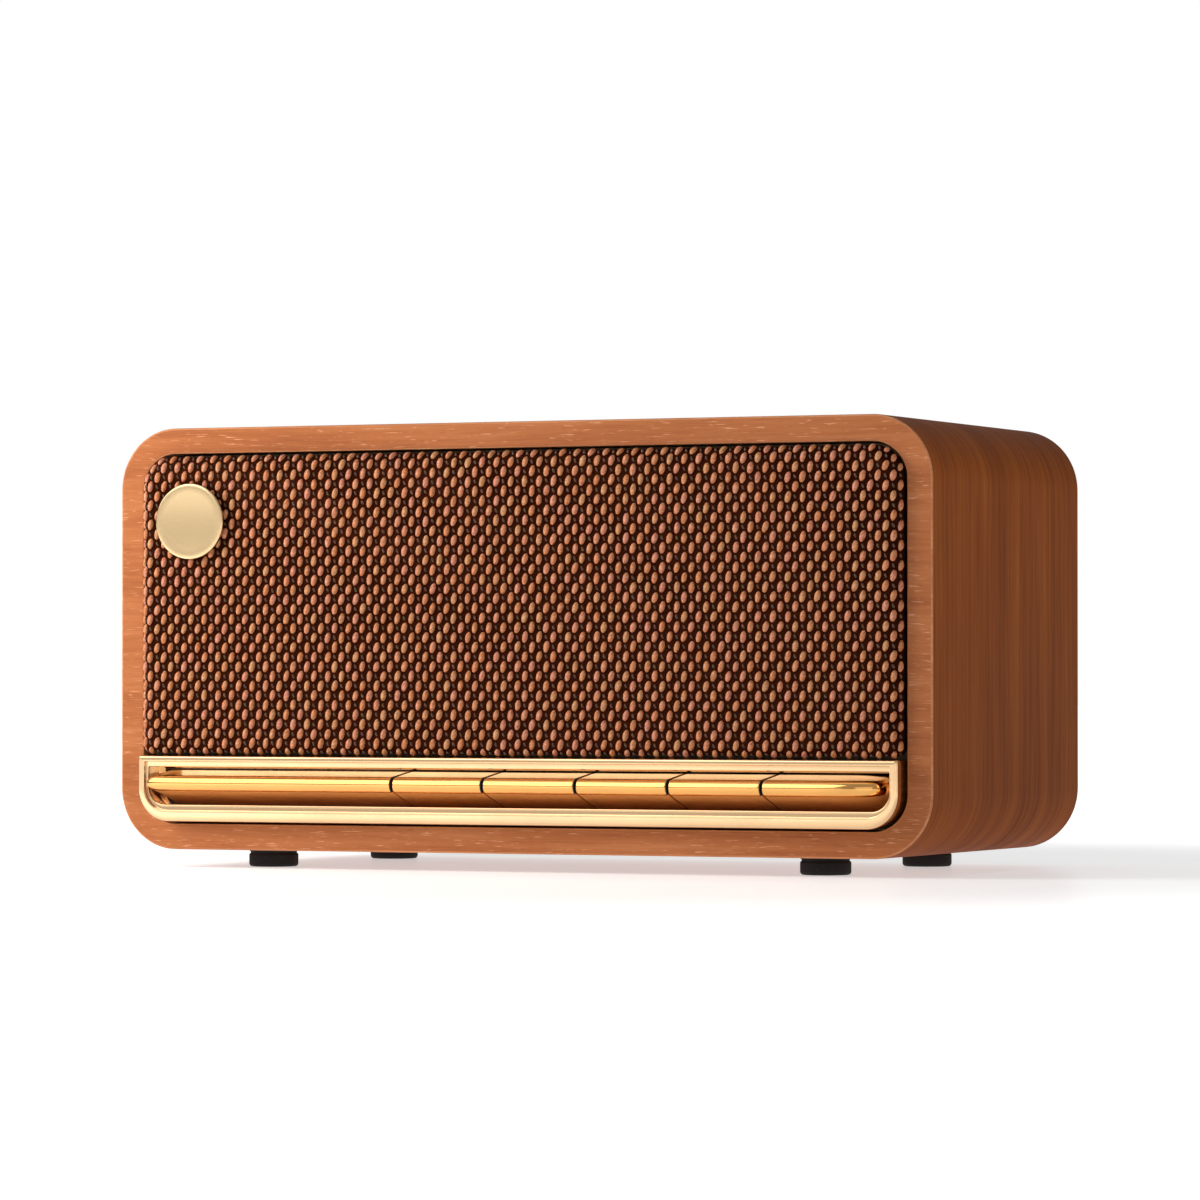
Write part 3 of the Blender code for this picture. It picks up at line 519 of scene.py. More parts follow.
# ---------------------------------------------------------------- cabinet
def make_cabinet():
    def outline(t):
        # from the middle of the underside on, where the joint in the veneer lies
        points = rounded(-HALF + t, HALF - t, LOW + t, HIGH - t, CORNER - t, 25, 16)
        return points[32:] + points[:32]

    e, q = 0.55, 0.35
    stations = [(WALL, -3.0, 3), (WALL, -q - 0.3, 1)]
    for i in range(4):
        a = math.radians(90 * i / 3)
        stations.append((WALL - q * (1 - math.cos(a)), -q * (1 - math.sin(a)), 1))
    stations += [(WALL - q - 0.3, 0.0, 0), (e + 0.3, 0.0, 0)]
    for i in range(6):
        a = math.radians(90 * i / 5)
        stations.append((e * (1 - math.sin(a)), -e * (1 - math.cos(a)), 1))
    stations.append((0.0, -e - 0.35, 2))
    for y in np.linspace(6, DEPTH - 6, 12):
        stations.append((0.0, -float(y), 2))
    stations.append((0.0, -DEPTH + e + 0.35, 2))
    for i in range(6):
        a = math.radians(90 * i / 5)
        stations.append((e * (1 - math.cos(a)), -DEPTH + e * (1 - math.sin(a)), 1))
    stations += [(e + 0.3, -DEPTH, 0), (WALL - q - 0.3, -DEPTH, 0)]
    for i in range(4):
        a = math.radians(90 * i / 3)
        stations.append((WALL - q * (1 - math.sin(a)), -DEPTH + q * (1 - math.cos(a)), 1))
    stations.append((WALL, -DEPTH + q + 0.3, 3))
    stations.append((WALL, -DEPTH + 8.0, 3))
    stations.append((WALL, -DEPTH / 2, 3))
    loops = [at(outline(t), p) for t, p, _ in stations]
    base = outline(0.0)
    u = [0.0]
    for i in range(len(base)):
        (x0, z0), (x1, z1) = base[i], base[(i + 1) % len(base)]
        u.append(u[-1] + math.hypot(x1 - x0, z1 - z0) * MM)
    w = [-p * MM for _, p, _ in stations]
    # a face between two stations takes the look of the flatter one
    mats = []
    for i in range(len(stations)):
        (t0, p0, a), (t1, p1, b) = stations[i], stations[(i + 1) % len(stations)]
        if abs(p0 - p1) < 1e-6 and (abs(p0) < 1e-6 or abs(p0 + DEPTH) < 1e-6):
            mats.append(0)
        # the wrapped outside takes look 2, darker and more saturated than the front: its own tone with painted shade
        elif t0 == t1 == 0.0:
            mats.append(2)
        elif t0 == t1 == WALL:
            mats.append(3)
        # the rounded edges take look 1, lighter than the front: a painted highlight
        else:
            mats.append(1)
    shape = Shape()
    shape.loops(loops, ring=True, mats=mats, uv=(u, w))
    return shape.build("cabinet_case", [FRONT_WOOD, EDGE_WOOD_PAINTED_HIGHLIGHT, SIDE_WOOD_WITH_PAINTED_SHADE, INSIDE_WOOD], "cabinet", ["cabinet_shell"], "veneered_wood")


def make_feet():
    for name, x, y in (
        ("foot_front_left", -92.0, FRONT_Y + 21.3),
        ("foot_front_right", 92.0, FRONT_Y + 21.3),
        ("foot_rear_left", -92.0, FRONT_Y + 126 - 21.3),
        ("foot_rear_right", 92.0, FRONT_Y + 126 - 21.3),
    ):
        r = 7.6
        profile = [(0, 0.35), (3.6, 0.35), (4.1, 0.0), (r - 1.0, 0.0)]
        profile += [(r - 1.0 + 1.0 * math.sin(math.radians(a)), 1.0 - 1.0 * math.cos(math.radians(a))) for a in (22, 45, 67, 90)]
        profile += [(r, 3.6), (r - 0.1, 3.9), (r - 0.45, 4.1), (r - 0.45, 4.6), (r - 0.1, 4.8), (r - 0.05, 5.46), (0, 5.46)]
        shape = Shape()
        shape.turned(profile, x, y=y, upright=True, steps=72)
        shape.build(name + "_rubber", [RUBBER], "cabinet", [name], "black_rubber", angle=50)


# ---------------------------------------------------------------- grille
FLAT = (-SHEET_HALF + ROLL, SHEET_HALF - ROLL, SHEET_LOW + ROLL_LOW, SHEET_HIGH - ROLL)
FLAT_RADIUS = 10.0 - ROLL


def drape(u, v, h=0.0):
    """Takes flat sheet coordinates, in mm, and a height above the sheet to (x, p, z) on the rolled sheet, and gives how far past the flat face a point lies."""
    u, v, h = np.broadcast_arrays(np.asarray(u, float), np.asarray(v, float), np.asarray(h, float))
    x0, x1, z0, z1 = FLAT
    r = np.where(v > (z0 + z1) / 2, FLAT_RADIUS, 0.4)
    cx = np.clip(u, x0 + r, x1 - r)
    cz = np.clip(v, z0 + r, z1 - r)
    dx, dz = u - cx, v - cz
    away = np.hypot(dx, dz)
    s = np.maximum(away - r, 0.0)
    s = np.where(away < 1e-9, 0.0, s)
    n = np.maximum(away, 1e-9)
    nx, nz = dx / n, dz / n
    low = np.clip(-nz, 0, 1) ** 2
    roll = ROLL + (ROLL_LOW - ROLL) * low
    arc = np.minimum(s, roll * math.pi / 2)
    angle = arc / roll
    rest = s - arc
    inside = s <= 0
    bx = np.where(inside, u, cx + nx * r)
    bz = np.where(inside, v, cz + nz * r)
    out = roll * np.sin(angle) + h * np.sin(angle)
    x = bx + np.where(inside, 0.0, nx * out)
    z = bz + np.where(inside, 0.0, nz * out)
    p = SHEET_P - roll * (1 - np.cos(angle)) - rest + h * np.cos(angle)
    return x, p, z, s, roll


def ellipse_dome(sectors, rings, half_w, half_h, height, lean, groove):
    """A yarn float as (du, dv, h): an oval dome with a shallow slanting crease, closed underneath. Returns points and faces."""
    pts, faces = [(0.0, 0.0, 1.0)], []
    for k in range(1, rings + 1):
        a = math.radians(90 * k / rings)
        for i in range(sectors):
            t = 2 * math.pi * (i + 0.5 * (k % 2)) / sectors
            pts.append((math.sin(a) * math.cos(t), math.sin(a) * math.sin(t), math.cos(a)))
    pts.append((0.0, 0.0, -0.35))
    last = len(pts) - 1
    for i in range(sectors):
        faces.append((0, 1 + i, 1 + (i + 1) % sectors))
    for k in range(rings - 1):
        a0, b0 = 1 + k * sectors, 1 + (k + 1) * sectors
        shift = 0 if (k + 1) % 2 else -1
        for i in range(sectors):
            j = (i + 1) % sectors
            if (k + 1) % 2:
                # this ring is turned by half a sector, and the next isn't
                faces.append((a0 + i, b0 + i, b0 + j))
                faces.append((a0 + i, b0 + j, a0 + j))
            else:
                faces.append((a0 + i, b0 + i, a0 + j))
                faces.append((b0 + i, b0 + j, a0 + j))
    b0 = 1 + (rings - 1) * sectors
    for i in range(sectors):
        faces.append((b0 + i, last, b0 + (i + 1) % sectors))
    pts = np.array(pts)
    # a shallow slanting crease pressed into the top, and the dome leant
    x, z, h = pts.T
    q = z * 0.85 - x * 0.5 - 0.12
    h = np.where(h > 0.02, h * height - groove * np.exp(-((q / 0.22) ** 2)) * np.clip(h, 0, 1), h * height)
    u = x * half_w + lean * z * half_h
    return np.stack([u, z * half_h, h], 1), faces


COLUMN, ROW = 2.355, 5.83


def grid_points(shift_rows, margin):
    """Yarn places on the flat sheet: columns side by side, each next column half a row lower."""
    out = []
    reach_x = SHEET_HALF - ROLL + ROLL * math.pi / 2 + 0.5
    top = FLAT[3] + ROLL * math.pi / 2 + 0.5
    low = FLAT[2] - ROLL_LOW * math.pi / 2 - 0.6
    columns = int(reach_x / COLUMN) + 1
    for c in range(-columns, columns + 1):
        u = (c + 0.5) * COLUMN - 0.4
        # every other column starts half a row lower
        start = top + ROW - (ROW / 2 if c % 2 else 0.0) + shift_rows * ROW
        v = start
        while v > low - ROW:
            out.append((u, v, c))
            v -= ROW
    out = np.array(out)
    x, p, z, s, roll = drape(out[:, 0], out[:, 1])
    keep = s < roll * math.pi / 2 + margin
    return out[keep]


def scatter(name, template, faces, places, rng, jitter, look, tilt=0.0, sink=0.0):
    """One mesh of every copy of the template, bent over the sheet, each with its own tone."""
    n, k = len(places), len(template)
    scale = 1 + rng.uniform(-jitter, jitter, (n, 1, 2))
    turn = np.radians(rng.uniform(-5, 5, (n, 1))) + math.radians(tilt)
    du, dv = template[None, :, 0] * scale[:, :, 0], template[None, :, 1] * scale[:, :, 1]
    cu, su = np.cos(turn), np.sin(turn)
    u = places[:, None, 0] + rng.uniform(-0.08, 0.08, (n, 1)) + du * cu - dv * su
    v = places[:, None, 1] + rng.uniform(-0.10, 0.10, (n, 1)) + du * su + dv * cu
    h = np.broadcast_to(template[None, :, 2], (n, k)) * (1 + rng.uniform(-0.08, 0.08, (n, 1))) - sink
    x, p, z, s, roll = drape(u, v, h)
    co = np.stack([x * MM, (FRONT_Y - p) * MM, z * MM], -1).reshape(-1, 3)
    base = (np.arange(n) * k)[:, None, None]
    tri = (np.array(faces)[None] + base).reshape(-1, 3)
    mesh = bpy.data.meshes.new(name)
    mesh.vertices.add(len(co))
    mesh.vertices.foreach_set("co", co.astype(np.float32).ravel())
    mesh.loops.add(tri.size)
    mesh.loops.foreach_set("vertex_index", tri.astype(np.int32).ravel())
    mesh.polygons.add(len(tri))
    mesh.polygons.foreach_set("loop_start", np.arange(0, tri.size, 3, dtype=np.int32))
    mesh.update(calc_edges=True)
    mesh.validate()
    tone = mesh.attributes.new("tone", "FLOAT", "POINT")
    tone.data.foreach_set("value", np.repeat(rng.uniform(0, 1, n), k).astype(np.float32))
    mesh.materials.append(look)
    mesh.shade_smooth()
    obj = bpy.data.objects.new(name, mesh)
    bpy.context.scene.collection.objects.link(obj)
    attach(obj, "cabinet")
    return obj


def make_grille():
    # The backing: the woven sheet itself, rolled back over its frame's edges.
    x0, x1, z0, z1 = FLAT
    steps = 14
    base = rounded(x0, x1, z0, z1, (0.4, 0.4, FLAT_RADIUS, FLAT_RADIUS), steps, 24)
    n = len(base)
    centre = np.array(base)
    # outward normals of the flat face's outline
    cx = np.clip(centre[:, 0], x0 + np.where(centre[:, 1] > (z0 + z1) / 2, FLAT_RADIUS, 0.4), x1 - np.where(centre[:, 1] > (z0 + z1) / 2, FLAT_RADIUS, 0.4))
    cz = np.clip(centre[:, 1], z0 + 0.4, z1 - FLAT_RADIUS)
    nx, nz = centre[:, 0] - cx, centre[:, 1] - cz
    length = np.maximum(np.hypot(nx, nz), 1e-9)
    nx, nz = nx / length, nz / length
    loops = []
    low = np.clip(-nz, 0, 1) ** 2
    roll = ROLL + (ROLL_LOW - ROLL) * low
    back = -2.6

    def loop(fraction, drop, inward):
        """One outline of the sheet: fraction of the roll done, then drop of the skirt done, set in by the cloth's thickness."""
        a = fraction * math.pi / 2
        rr = roll - inward
        out = rr * math.sin(a)
        p = SHEET_P - roll + rr * math.cos(a)
        p = p + (back - p) * drop
        return [point(px + ax * o, pp, pz + az * o) for (px, pz), ax, az, o, pp in zip(base, nx, nz, out, p)]

    cloth = 0.7
    shape = Shape()
    for k in range(9):
        loops.append(loop(k / 8, 0.0, 0.0))
    loops.append(loop(1.0, 1.0, 0.0))
    loops.append(loop(1.0, 1.0, cloth))
    for k in range(8, -1, -1):
        loops.append(loop(k / 8, 0.0, cloth))
    shape.loops(loops, mats=0)
    sheet = shape.build("grille_sheet", [BACKING], "cabinet", ["grille_cloth"], "grille_weave", angle=60)
    tone = sheet.data.attributes.new("tone", "FLOAT", "POINT")
    rng = np.random.default_rng(11)
    tone.data.foreach_set("value", rng.uniform(0, 1, len(sheet.data.vertices)).astype(np.float32))

    rng = np.random.default_rng(5)
    template, faces = ellipse_dome(10, 4, 0.98, 1.74, 1.05, 0.19, 0.18)
    beads = scatter("grille_beads", template, faces, grid_points(0.0, 0.4), rng, 0.06, BEAD, 0.0, 0.12)
    template, faces = ellipse_dome(8, 3, 0.42, 0.76, 0.62, -0.12, 0.0)
    threads = scatter("grille_threads", template, faces, grid_points(0.5, 0.4), rng, 0.10, THREAD, 14.0, 0.12)


def make_badge():
    r, back = BADGE_R, 5.1
    profile = [(0, back), (r - 0.5, back), (r - 0.15, back + 0.15)]
    profile += [(r - 0.45 + 0.45 * math.sin(math.radians(a)), 6.15 + 0.45 * math.cos(math.radians(a))) for a in (100, 80, 60, 40, 20, 5)]
    profile += [(r - 0.9, 6.62), (r - 1.6, 6.64)]
    for k in range(1, 9):
        rr = (r - 1.6) * (1 - k / 8)
        profile.append((rr, 6.64 - 0.32 * (1 - (rr / (r - 1.6)) ** 2)))
    shape = Shape()
    shape.turned(profile, BADGE_X, BADGE_Z, steps=128)
    shape.build("badge_plain_disc", [SATIN], "cabinet", ["badge_disc"], "satin_gold", angle=50)


def make_grille_frame():
    """The moulded frame behind the cloth: its front edge is rounded, so that the cloth rolls over it."""
    x, z0, z1, front, back, w = 123.9, 36.6, 124.9, 2.85, -2.0, 8.0
    shape, loops = Shape(), []

    def outer(inset):
        return rounded(-x + inset, x - inset, z0 + inset, z1 - inset, (1.2, 1.2, 8.8, 8.8), 9)

    def inner(inset):
        return rounded(-x + w - inset, x - w + inset, z0 + w - inset, z1 - w + inset, (1, 1, 3, 3), 9)

    loops.append(at(outer(0.0), back))
    for k in range(7):
        a = math.radians(90 * k / 6)
        loops.append(at(outer(3.0 * (1 - math.cos(a))), front - 3.0 * (1 - math.sin(a))))
    loops += [at(inner(0.4), front), at(inner(0.12), front - 0.12), at(inner(0.0), front - 0.4), at(inner(0.0), back)]
    shape.loops(loops, ring=True)
    shape.block(-4, 4, front - 0.3, back, z0 + 5, z1 - 5, 0.4)
    for px in (-x + 4, x - 4):
        for pz in (56, 104):
            shape.turned([(0, back + 0.4), (2.0, back + 0.4), (2.0, -10.6), (1.6, -11.0), (0, -11.0)], px, pz, steps=28)
    shape.build("grille_frame_rounded", [PLASTIC_AND_SEAM_SHADE], "cabinet", ["grille_frame"], "black_plastic", angle=40)


def make_surrounds():
    """Each driver's half-roll rubber surround, in twelve sectors between the cone and the basket."""
    section = [(19.2, -5.6), (19.2, -5.1), (19.3, -5.0), (20.15, -5.0)]
    section += [(21.9 + 1.75 * math.cos(math.radians(a)), -4.95 + 1.75 * math.sin(math.radians(a))) for a in range(170, 5, -15)]
    section += [(23.8, -4.4), (25.3, -4.4), (25.4, -4.5), (25.4, -4.9), (23.3, -4.9)]
    section += [(21.9 + 1.2 * math.cos(math.radians(a)), -4.95 + 1.2 * math.sin(math.radians(a))) for a in range(20, 175, 15)]
    section += [(20.5, -5.6)]
    sectors, steps = 12, 8
    for side, word in ((-1, "left"), (1, "right")):
        cx, cz = side * 72.0, 80.9
        for k in range(sectors):
            loops = []
            for i in range(steps + 1):
                t = 2 * math.pi * (k + i / steps) / sectors
                loops.append([point(cx + r * math.cos(t), p, cz + r * math.sin(t)) for r, p in section])
            shape = Shape()
            shape.loops(loops)
            piece = shape.build(f"surround_{word}_{k + 1}", [RUBBER], None, [f"driver_surround_{word}"], "black_rubber", angle=50)
            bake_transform(piece)


# ---------------------------------------------------------------- bezel and keys
def make_bezel():
    def band(side, top, bottom, corner):
        return rounded(-BEZEL_HALF + side, BEZEL_HALF - side, BEZEL_LOW + bottom, BEZEL_HIGH - top, (corner, corner, 0.35, 0.35), 17, 10)

    proud, step = 5.5, 4.3
    side, top, bottom = 2.2, 1.8, 3.3
    lip_side, lip_top, lip_bottom = 0.8, 1.7, 1.9
    loops = [at(band(0, 0, 0, 10.0), -6.7), at(band(0, 0, 0, 10.0), 3.9)]
    # the outer edge is a soft quarter round
    for k in range(9):
        a = math.radians(90 * k / 8)
        rs, rb, rt = 0.85, 1.15, 0.75
        loops.append(at(band(rs * (1 - math.cos(a)), rt * (1 - math.cos(a)), rb * (1 - math.cos(a)), 10.0 - 1.0 * (1 - math.cos(a))), proud - 1.0 * (1 - math.sin(a))))
    e = 0.22
    loops.append(at(band(side - e - 0.15, top - e - 0.15, bottom - e - 0.2, 10.0 - 2.3), proud))
    for k in range(5):
        a = math.radians(90 * k / 4)
        d = e * (1 - math.sin(a))
        loops.append(at(band(side - d, top - d, bottom - d, 7.5), proud - e * (1 - math.cos(a))))
    loops.append(at(band(side, top, bottom, 7.5), step + 0.15))
    loops.append(at(band(side + 0.05, top + 0.05, bottom + 0.05, 7.45), step + 0.04))
    loops.append(at(band(side + 0.2, top + 0.2, bottom + 0.2, 7.3), step))
    e = 0.35
    loops.append(at(band(side + lip_side - e - 0.1, top + lip_top - e - 0.2, bottom + lip_bottom - e - 0.2, 6.2), step))
    for k in range(6):
        a = math.radians(90 * k / 5)
        d = e * (1 - math.sin(a))
        loops.append(at(band(side + lip_side - d, top + lip_top - d, bottom + lip_bottom - d, 5.6 + d), step - e * (1 - math.cos(a))))
    # behind the lip the channel opens a little, above and below, and an inclined wall closes it above the keys
    loops += [at(band(3.0, 3.5, 5.2, 5.6), step - e - 0.3), at(band(1.7, 3.45, 5.0, 6.0), 1.0), at(band(0.9, 2.2, 3.9, 6.2), -6.3), at(band(3.0, 4.0, 3.9, 5.4), -6.66)]
    shape = Shape()
    shape.loops(loops, ring=True)
    shape.build("bezel_gold", [GOLD], "cabinet", ["key_bezel"], "gold_plating", angle=50)


def bar_section(back, inset):
    """The bar's section, set in by inset all round, as (p, z)."""
    up, down = math.radians(82), math.radians(-72)
    r = NOSE_R - inset
    points, n = [], 25
    for i in range(n):
        a = up + (down - up) * i / (n - 1)
        points.append((NOSE_P + r * math.cos(a), NOSE_Z + r * math.sin(a)))
    top, low = points[0], points[-1]
    t8, t18 = math.tan(math.radians(8)), math.tan(math.radians(18))
    head, tail = [], []
    for share in (1.0, 0.6, 0.3, 0.06):
        p = top[0] + (back - top[0]) * share
        head.append((p, top[1] + (top[0] - p) * t8))
    for share in (0.06, 0.3, 0.6, 1.0):
        p = low[0] + (back - low[0]) * share
        tail.append((p, low[1] - (low[0] - p) * t18))
    return head + points + tail


def bar_loop(x, back, end, inset=0.0):
    section = bar_section(back, inset)
    set_back = low = high = 0.0
    if end is not None:
        left = abs(end) - abs(x)
        # the right end recedes further than the left one
        depth, reach = (7.5, 14.0) if end > 0 else (1.6, 8.0)
        u = max(0.0, 1 - left / reach)
        set_back = depth * (1 - math.sqrt(max(0.0, 1 - u * u)))
        v = max(0.0, 1 - left / 5.5)
        low = 4.6 * (1 - math.sqrt(max(0.0, 1 - v * v)))
        v = max(0.0, 1 - left / 2.4)
        high = 2.2 * (1 - math.sqrt(max(0.0, 1 - v * v)))
    zs = [z for _, z in section]
    z_low, z_high = min(zs), max(zs)
    out = []
    for p, z in section:
        if p > back + 0.01:
            p = max(p - set_back, back + 0.5)
        if z > BAR_MIDDLE_Z:
            z = BAR_MIDDLE_Z + (z - BAR_MIDDLE_Z) * (z_high - BAR_MIDDLE_Z - high) / (z_high - BAR_MIDDLE_Z)
        else:
            z = BAR_MIDDLE_Z - (BAR_MIDDLE_Z - z) * (BAR_MIDDLE_Z - z_low - low) / (BAR_MIDDLE_Z - z_low)
        out.append(point(x, p, z))
    return out


def bar_shape(shape, x0, x1, back, ease=0.45):
    """A length of the bar. Its ends at a seam are eased, and an end at the bar's own end is rounded."""
    loops = []

    def seam(x, sign):
        made = []
        for k in range(5):
            a = math.radians(90 * k / 4)
            made.append(bar_loop(x + sign * ease * (1 - math.cos(a)), back, None, ease * (1 - math.sin(a))))
        made.append(bar_loop(x + sign * (ease + 0.35), back, None))
        return made

    def tip(end):
        made = []
        for k in range(19):
            u = math.sin(math.radians(90 * (1 - k / 18)))
            reach = BAR_HALF - (1.5 if end > 0 else 0.0)
            made.append(bar_loop(math.copysign(reach - 14.0 * (1 - u), end), back, math.copysign(reach, end)))
        return made

    left = tip(-1) if x0 == -BAR_HALF else seam(x0, 1)
    right = tip(1) if x1 == BAR_HALF else seam(x1, -1)
    loops = left
    a, b = loops[-1][0][0] / MM, right[-1][0][0] / MM
    for k in range(1, 6):
        loops.append(bar_loop(a + (b - a) * k / 6, back, None))
    loops += list(reversed(right))
    # the flank under the nose takes the satin lacquer, a painted reflection, and the faces inside a seam take black
    # plastic, a painted shade in the gap
    mats = [0] * (len(loops) - 1)
    if x0 != -BAR_HALF:
        mats[0] = mats[1] = mats[2] = 1
    if x1 != BAR_HALF:
        mats[-1] = mats[-2] = mats[-3] = 1
    shape.loops(loops, mats=mats, columns={28: 2, 29: 2, 30: 2, 31: 2})


def rod_loops(x0, x1, p, z, r, e, steps=40):
    def ring(x, rr):
        return [point(x, p + rr * math.cos(2 * math.pi * i / steps), z + rr * math.sin(2 * math.pi * i / steps)) for i in range(steps)]

    return [ring(x0, r - e), ring(x0 + e * 0.3, r - e * 0.3), ring(x0 + e, r), ring(x1 - e, r), ring(x1 - e * 0.3, r - e * 0.3), ring(x1, r - e)]


def make_keys():
    shape = Shape()
    bar_shape(shape, -BAR_HALF, KEY_SEAMS[0] - 0.3, -6.7)
    shape.build("trim_bar_gold", [GOLD_BAR, PLASTIC_AND_SEAM_SHADE, GOLD_UNDER_PAINTED_REFLECTION], "cabinet", ["trim_bar"], "gold_plating", angle=50)
    edges = [*KEY_SEAMS, None]
    for i, name in enumerate(KEY_NAMES):
        x0 = edges[i] + 0.3
        x1 = BAR_HALF if edges[i + 1] is None else edges[i + 1] - 0.3
        middle = edges[i] + 15.0
        shape = Shape()
        bar_shape(shape, x0, x1, -9.5)
        shape.block(middle - 6, middle + 6, -7.5, -27.5, 24.6, 28.4, 0.5, 1)
        # the boss: a tube that turns on the shaft
        n = 40
        loops = []
        for x, r in ((-6, 1.8), (-6, 3.3), (-5.7, 3.6), (5.7, 3.6), (6, 3.3), (6, 1.8)):
            loops.append([point(middle + x, PIVOT_P + r * math.cos(2 * math.pi * k / n), PIVOT_Z + r * math.sin(2 * math.pi * k / n)) for k in range(n)])
        shape.loops(loops, ring=True, mats=1)
        shape.block(middle - 1.5, middle + 1.5, -15.5, -18.5, 23.3, 26, 0.35, 1)
        shape.build(name + "_gold", [GOLD_BAR, PLASTIC_AND_SEAM_SHADE, GOLD_UNDER_PAINTED_REFLECTION], name + "_body", [name], "gold_plating", angle=50)


# ---------------------------------------------------------------- back
def make_screws():
    head, back = 3.0, -124.5
    for n, (side, z) in enumerate(((-1, 38), (1, 38), (-1, 102), (1, 102))):
        x = side * SCREW_X
        shape = Shape()
        sectors, rings = 96, 30
        rows = []
        # the head's outer face is a dome with a cross recess pressed into it
        loops = []
        turn = math.radians((25, 62, 8, 47)[n])
        for k in range(rings, 0, -1):
            r = head * k / rings
            ring = []
            for i in range(sectors):
                a = 2 * math.pi * i / sectors
                top = -125.15 - 0.80 * math.sqrt(max(0.0, 1 - (r / (head + 0.02)) ** 2))
                lx, lz = r * math.cos(a - turn), r * math.sin(a - turn)
                arm = min(abs(lx), abs(lz))
                long = max(abs(lx), abs(lz))
                width = 0.36 + 0.18 * max(0.0, 1 - long / 1.0)
                cut = max(0.0, min(1.0, (width - arm) / 0.10)) * max(0.0, min(1.0, (1.75 - long) / 0.25))
                deep = 0.85 * (1 - 0.45 * long / 1.75)
                ring.append(point(x + r * math.cos(a), top + cut * deep, z + r * math.sin(a)))
            loops.append(ring)
        rim = [[point(x + rr * math.cos(2 * math.pi * i / sectors), pp, z + rr * math.sin(2 * math.pi * i / sectors)) for i in range(sectors)] for rr, pp in ((0.05, -113.4), (0.6, -113.9), (1.5, -116), (1.5, back - 0.3), (head - 0.15, back - 0.32), (head, back - 0.5))]
        shape.loops(rim + loops)
        shape.build(f"rear_screw_{n + 1}_head", [BLACK_STEEL], "cabinet", [f"rear_screw_{n + 1}"], "plated_steel", angle=40)


def make_port():
    profile = [(14.5, -70), (14.7, -69.6), (16.2, -69.6), (16.5, -70), (16.5, -106), (19.9, -117), (19.9, -124.8), (24.6, -124.8), (25, -124.95)]
    profile += [(25 - 0.55 * (1 - math.cos(math.radians(a))), -125.4 - 0.55 * math.sin(math.radians(a))) for a in (0, 30, 60, 90)]
    profile += [(23.0, -126.0)]
    for k in range(13):
        a = math.radians(90 * k / 12)
        profile.append((22.6 - 7.6 * math.sin(a) ** 1.0, -126.0 + 11.5 * (1 - math.cos(a))))
    profile += [(14.7, -108), (14.5, -100)]
    shape = Shape()
    shape.turned(profile, PORT_X, PORT_Z, ring=True, steps=120)
    shape.build("reflex_port_flare", [PLASTIC_AND_SEAM_SHADE], "cabinet", ["reflex_port"], "black_plastic", angle=40)


def socket_shape(shape, x, z, half_w, half_h, radius, wall, back, tongue=None, mat=0):
    def outline(d):
        return rounded(x - half_w + d, x + half_w - d, z - half_h + d, z + half_h - d, max(radius - d, 0.08), 9)

    loops = [at(outline(0.05), back), at(outline(0.0), back - 0.1), at(outline(0.0), -125.6), at(outline(0.12), -125.8), at(outline(wall - 0.15), -125.8), at(outline(wall), -125.6), at(outline(wall), back - 1.5)]
    shape.loops(loops, mats=mat)
    if tongue:
        tw, th = tongue
        shape.block(x - tw, x + tw, back - 1.2, -124.6, z - th, z + th, 0.12, 1)


def make_io():
    # A plate with its holes is kept from the frame's own plate: its outline is a ring round each socket.
    shape = Shape()
    socket_shape(shape, -20, 33.1, 4.7, 1.9, 1.85, 0.6, -116, (3.1, 0.32))
    shape.build("usb_socket_shell", [ZINC, DARK], "cabinet", ["usb_socket"], "plated_steel", angle=40)
    shape = Shape()
    socket_shape(shape, 19, 32.7, 7.2, 1.5, 0.4, 0.6, -116)
    shape.block(13.0, 25.0, -117.6, -124.4, 31.85, 32.15, 0.1, 1)
    shape.build("card_slot_shell", [DARK, ZINC], "cabinet", ["card_slot"], "black_plastic", angle=40)
    shape = Shape()
    shape.turned([(0, -112), (3.9, -112), (4.0, -112.2), (4.0, -125.5), (3.8, -125.8), (2.2, -125.8), (1.95, -125.6), (1.9, -125.2), (1.9, -113), (0, -113)], 0, 35.2, steps=72)
    shape.turned([(1.89, -124.9), (1.89, -116.0), (1.78, -116.0), (1.78, -124.9)], 0, 35.2, steps=72, ring=True, mats=1)
    shape.build("aux_jack_shell", [DARK, ZINC], "cabinet", ["aux_jack"], "black_plastic", angle=40)


# ---------------------------------------------------------------- finish of the other CAD nodes
def paint(name, look):
    obj = NODES[name]
    obj.data.materials.clear()
    obj.data.materials.append(look)


def paint_all():
    looks = {
        "front_baffle": MDF, "rear_batten_left": MDF, "rear_batten_right": MDF,
        "key_bracket": PLASTIC_AND_SEAM_SHADE, "key_pivot_shaft": ZINC,
        "key_switch_board": BOARD, "main_board": BOARD, "io_board": BOARD,
        "amp_heatsink": ALUMINIUM, "battery_pack": FILM, "rear_panel": PANEL, "io_plate": DARK,
        "capacitor_1": DARK, "capacitor_2": DARK,
    }
    for i in range(1, 6):
        looks[f"key_switch_{i}"] = PLASTIC_AND_SEAM_SHADE
        looks[f"key_spring_{i}"] = ZINC
    for side in ("left", "right"):
        looks[f"driver_basket_{side}"] = BLACK_STEEL
        looks[f"driver_magnet_{side}"] = FERRITE
        looks[f"driver_cone_{side}"] = PAPER
        looks[f"voice_coil_{side}"] = COPPER
    for name, look in looks.items():
        if name in NODES:
            paint(name, look)


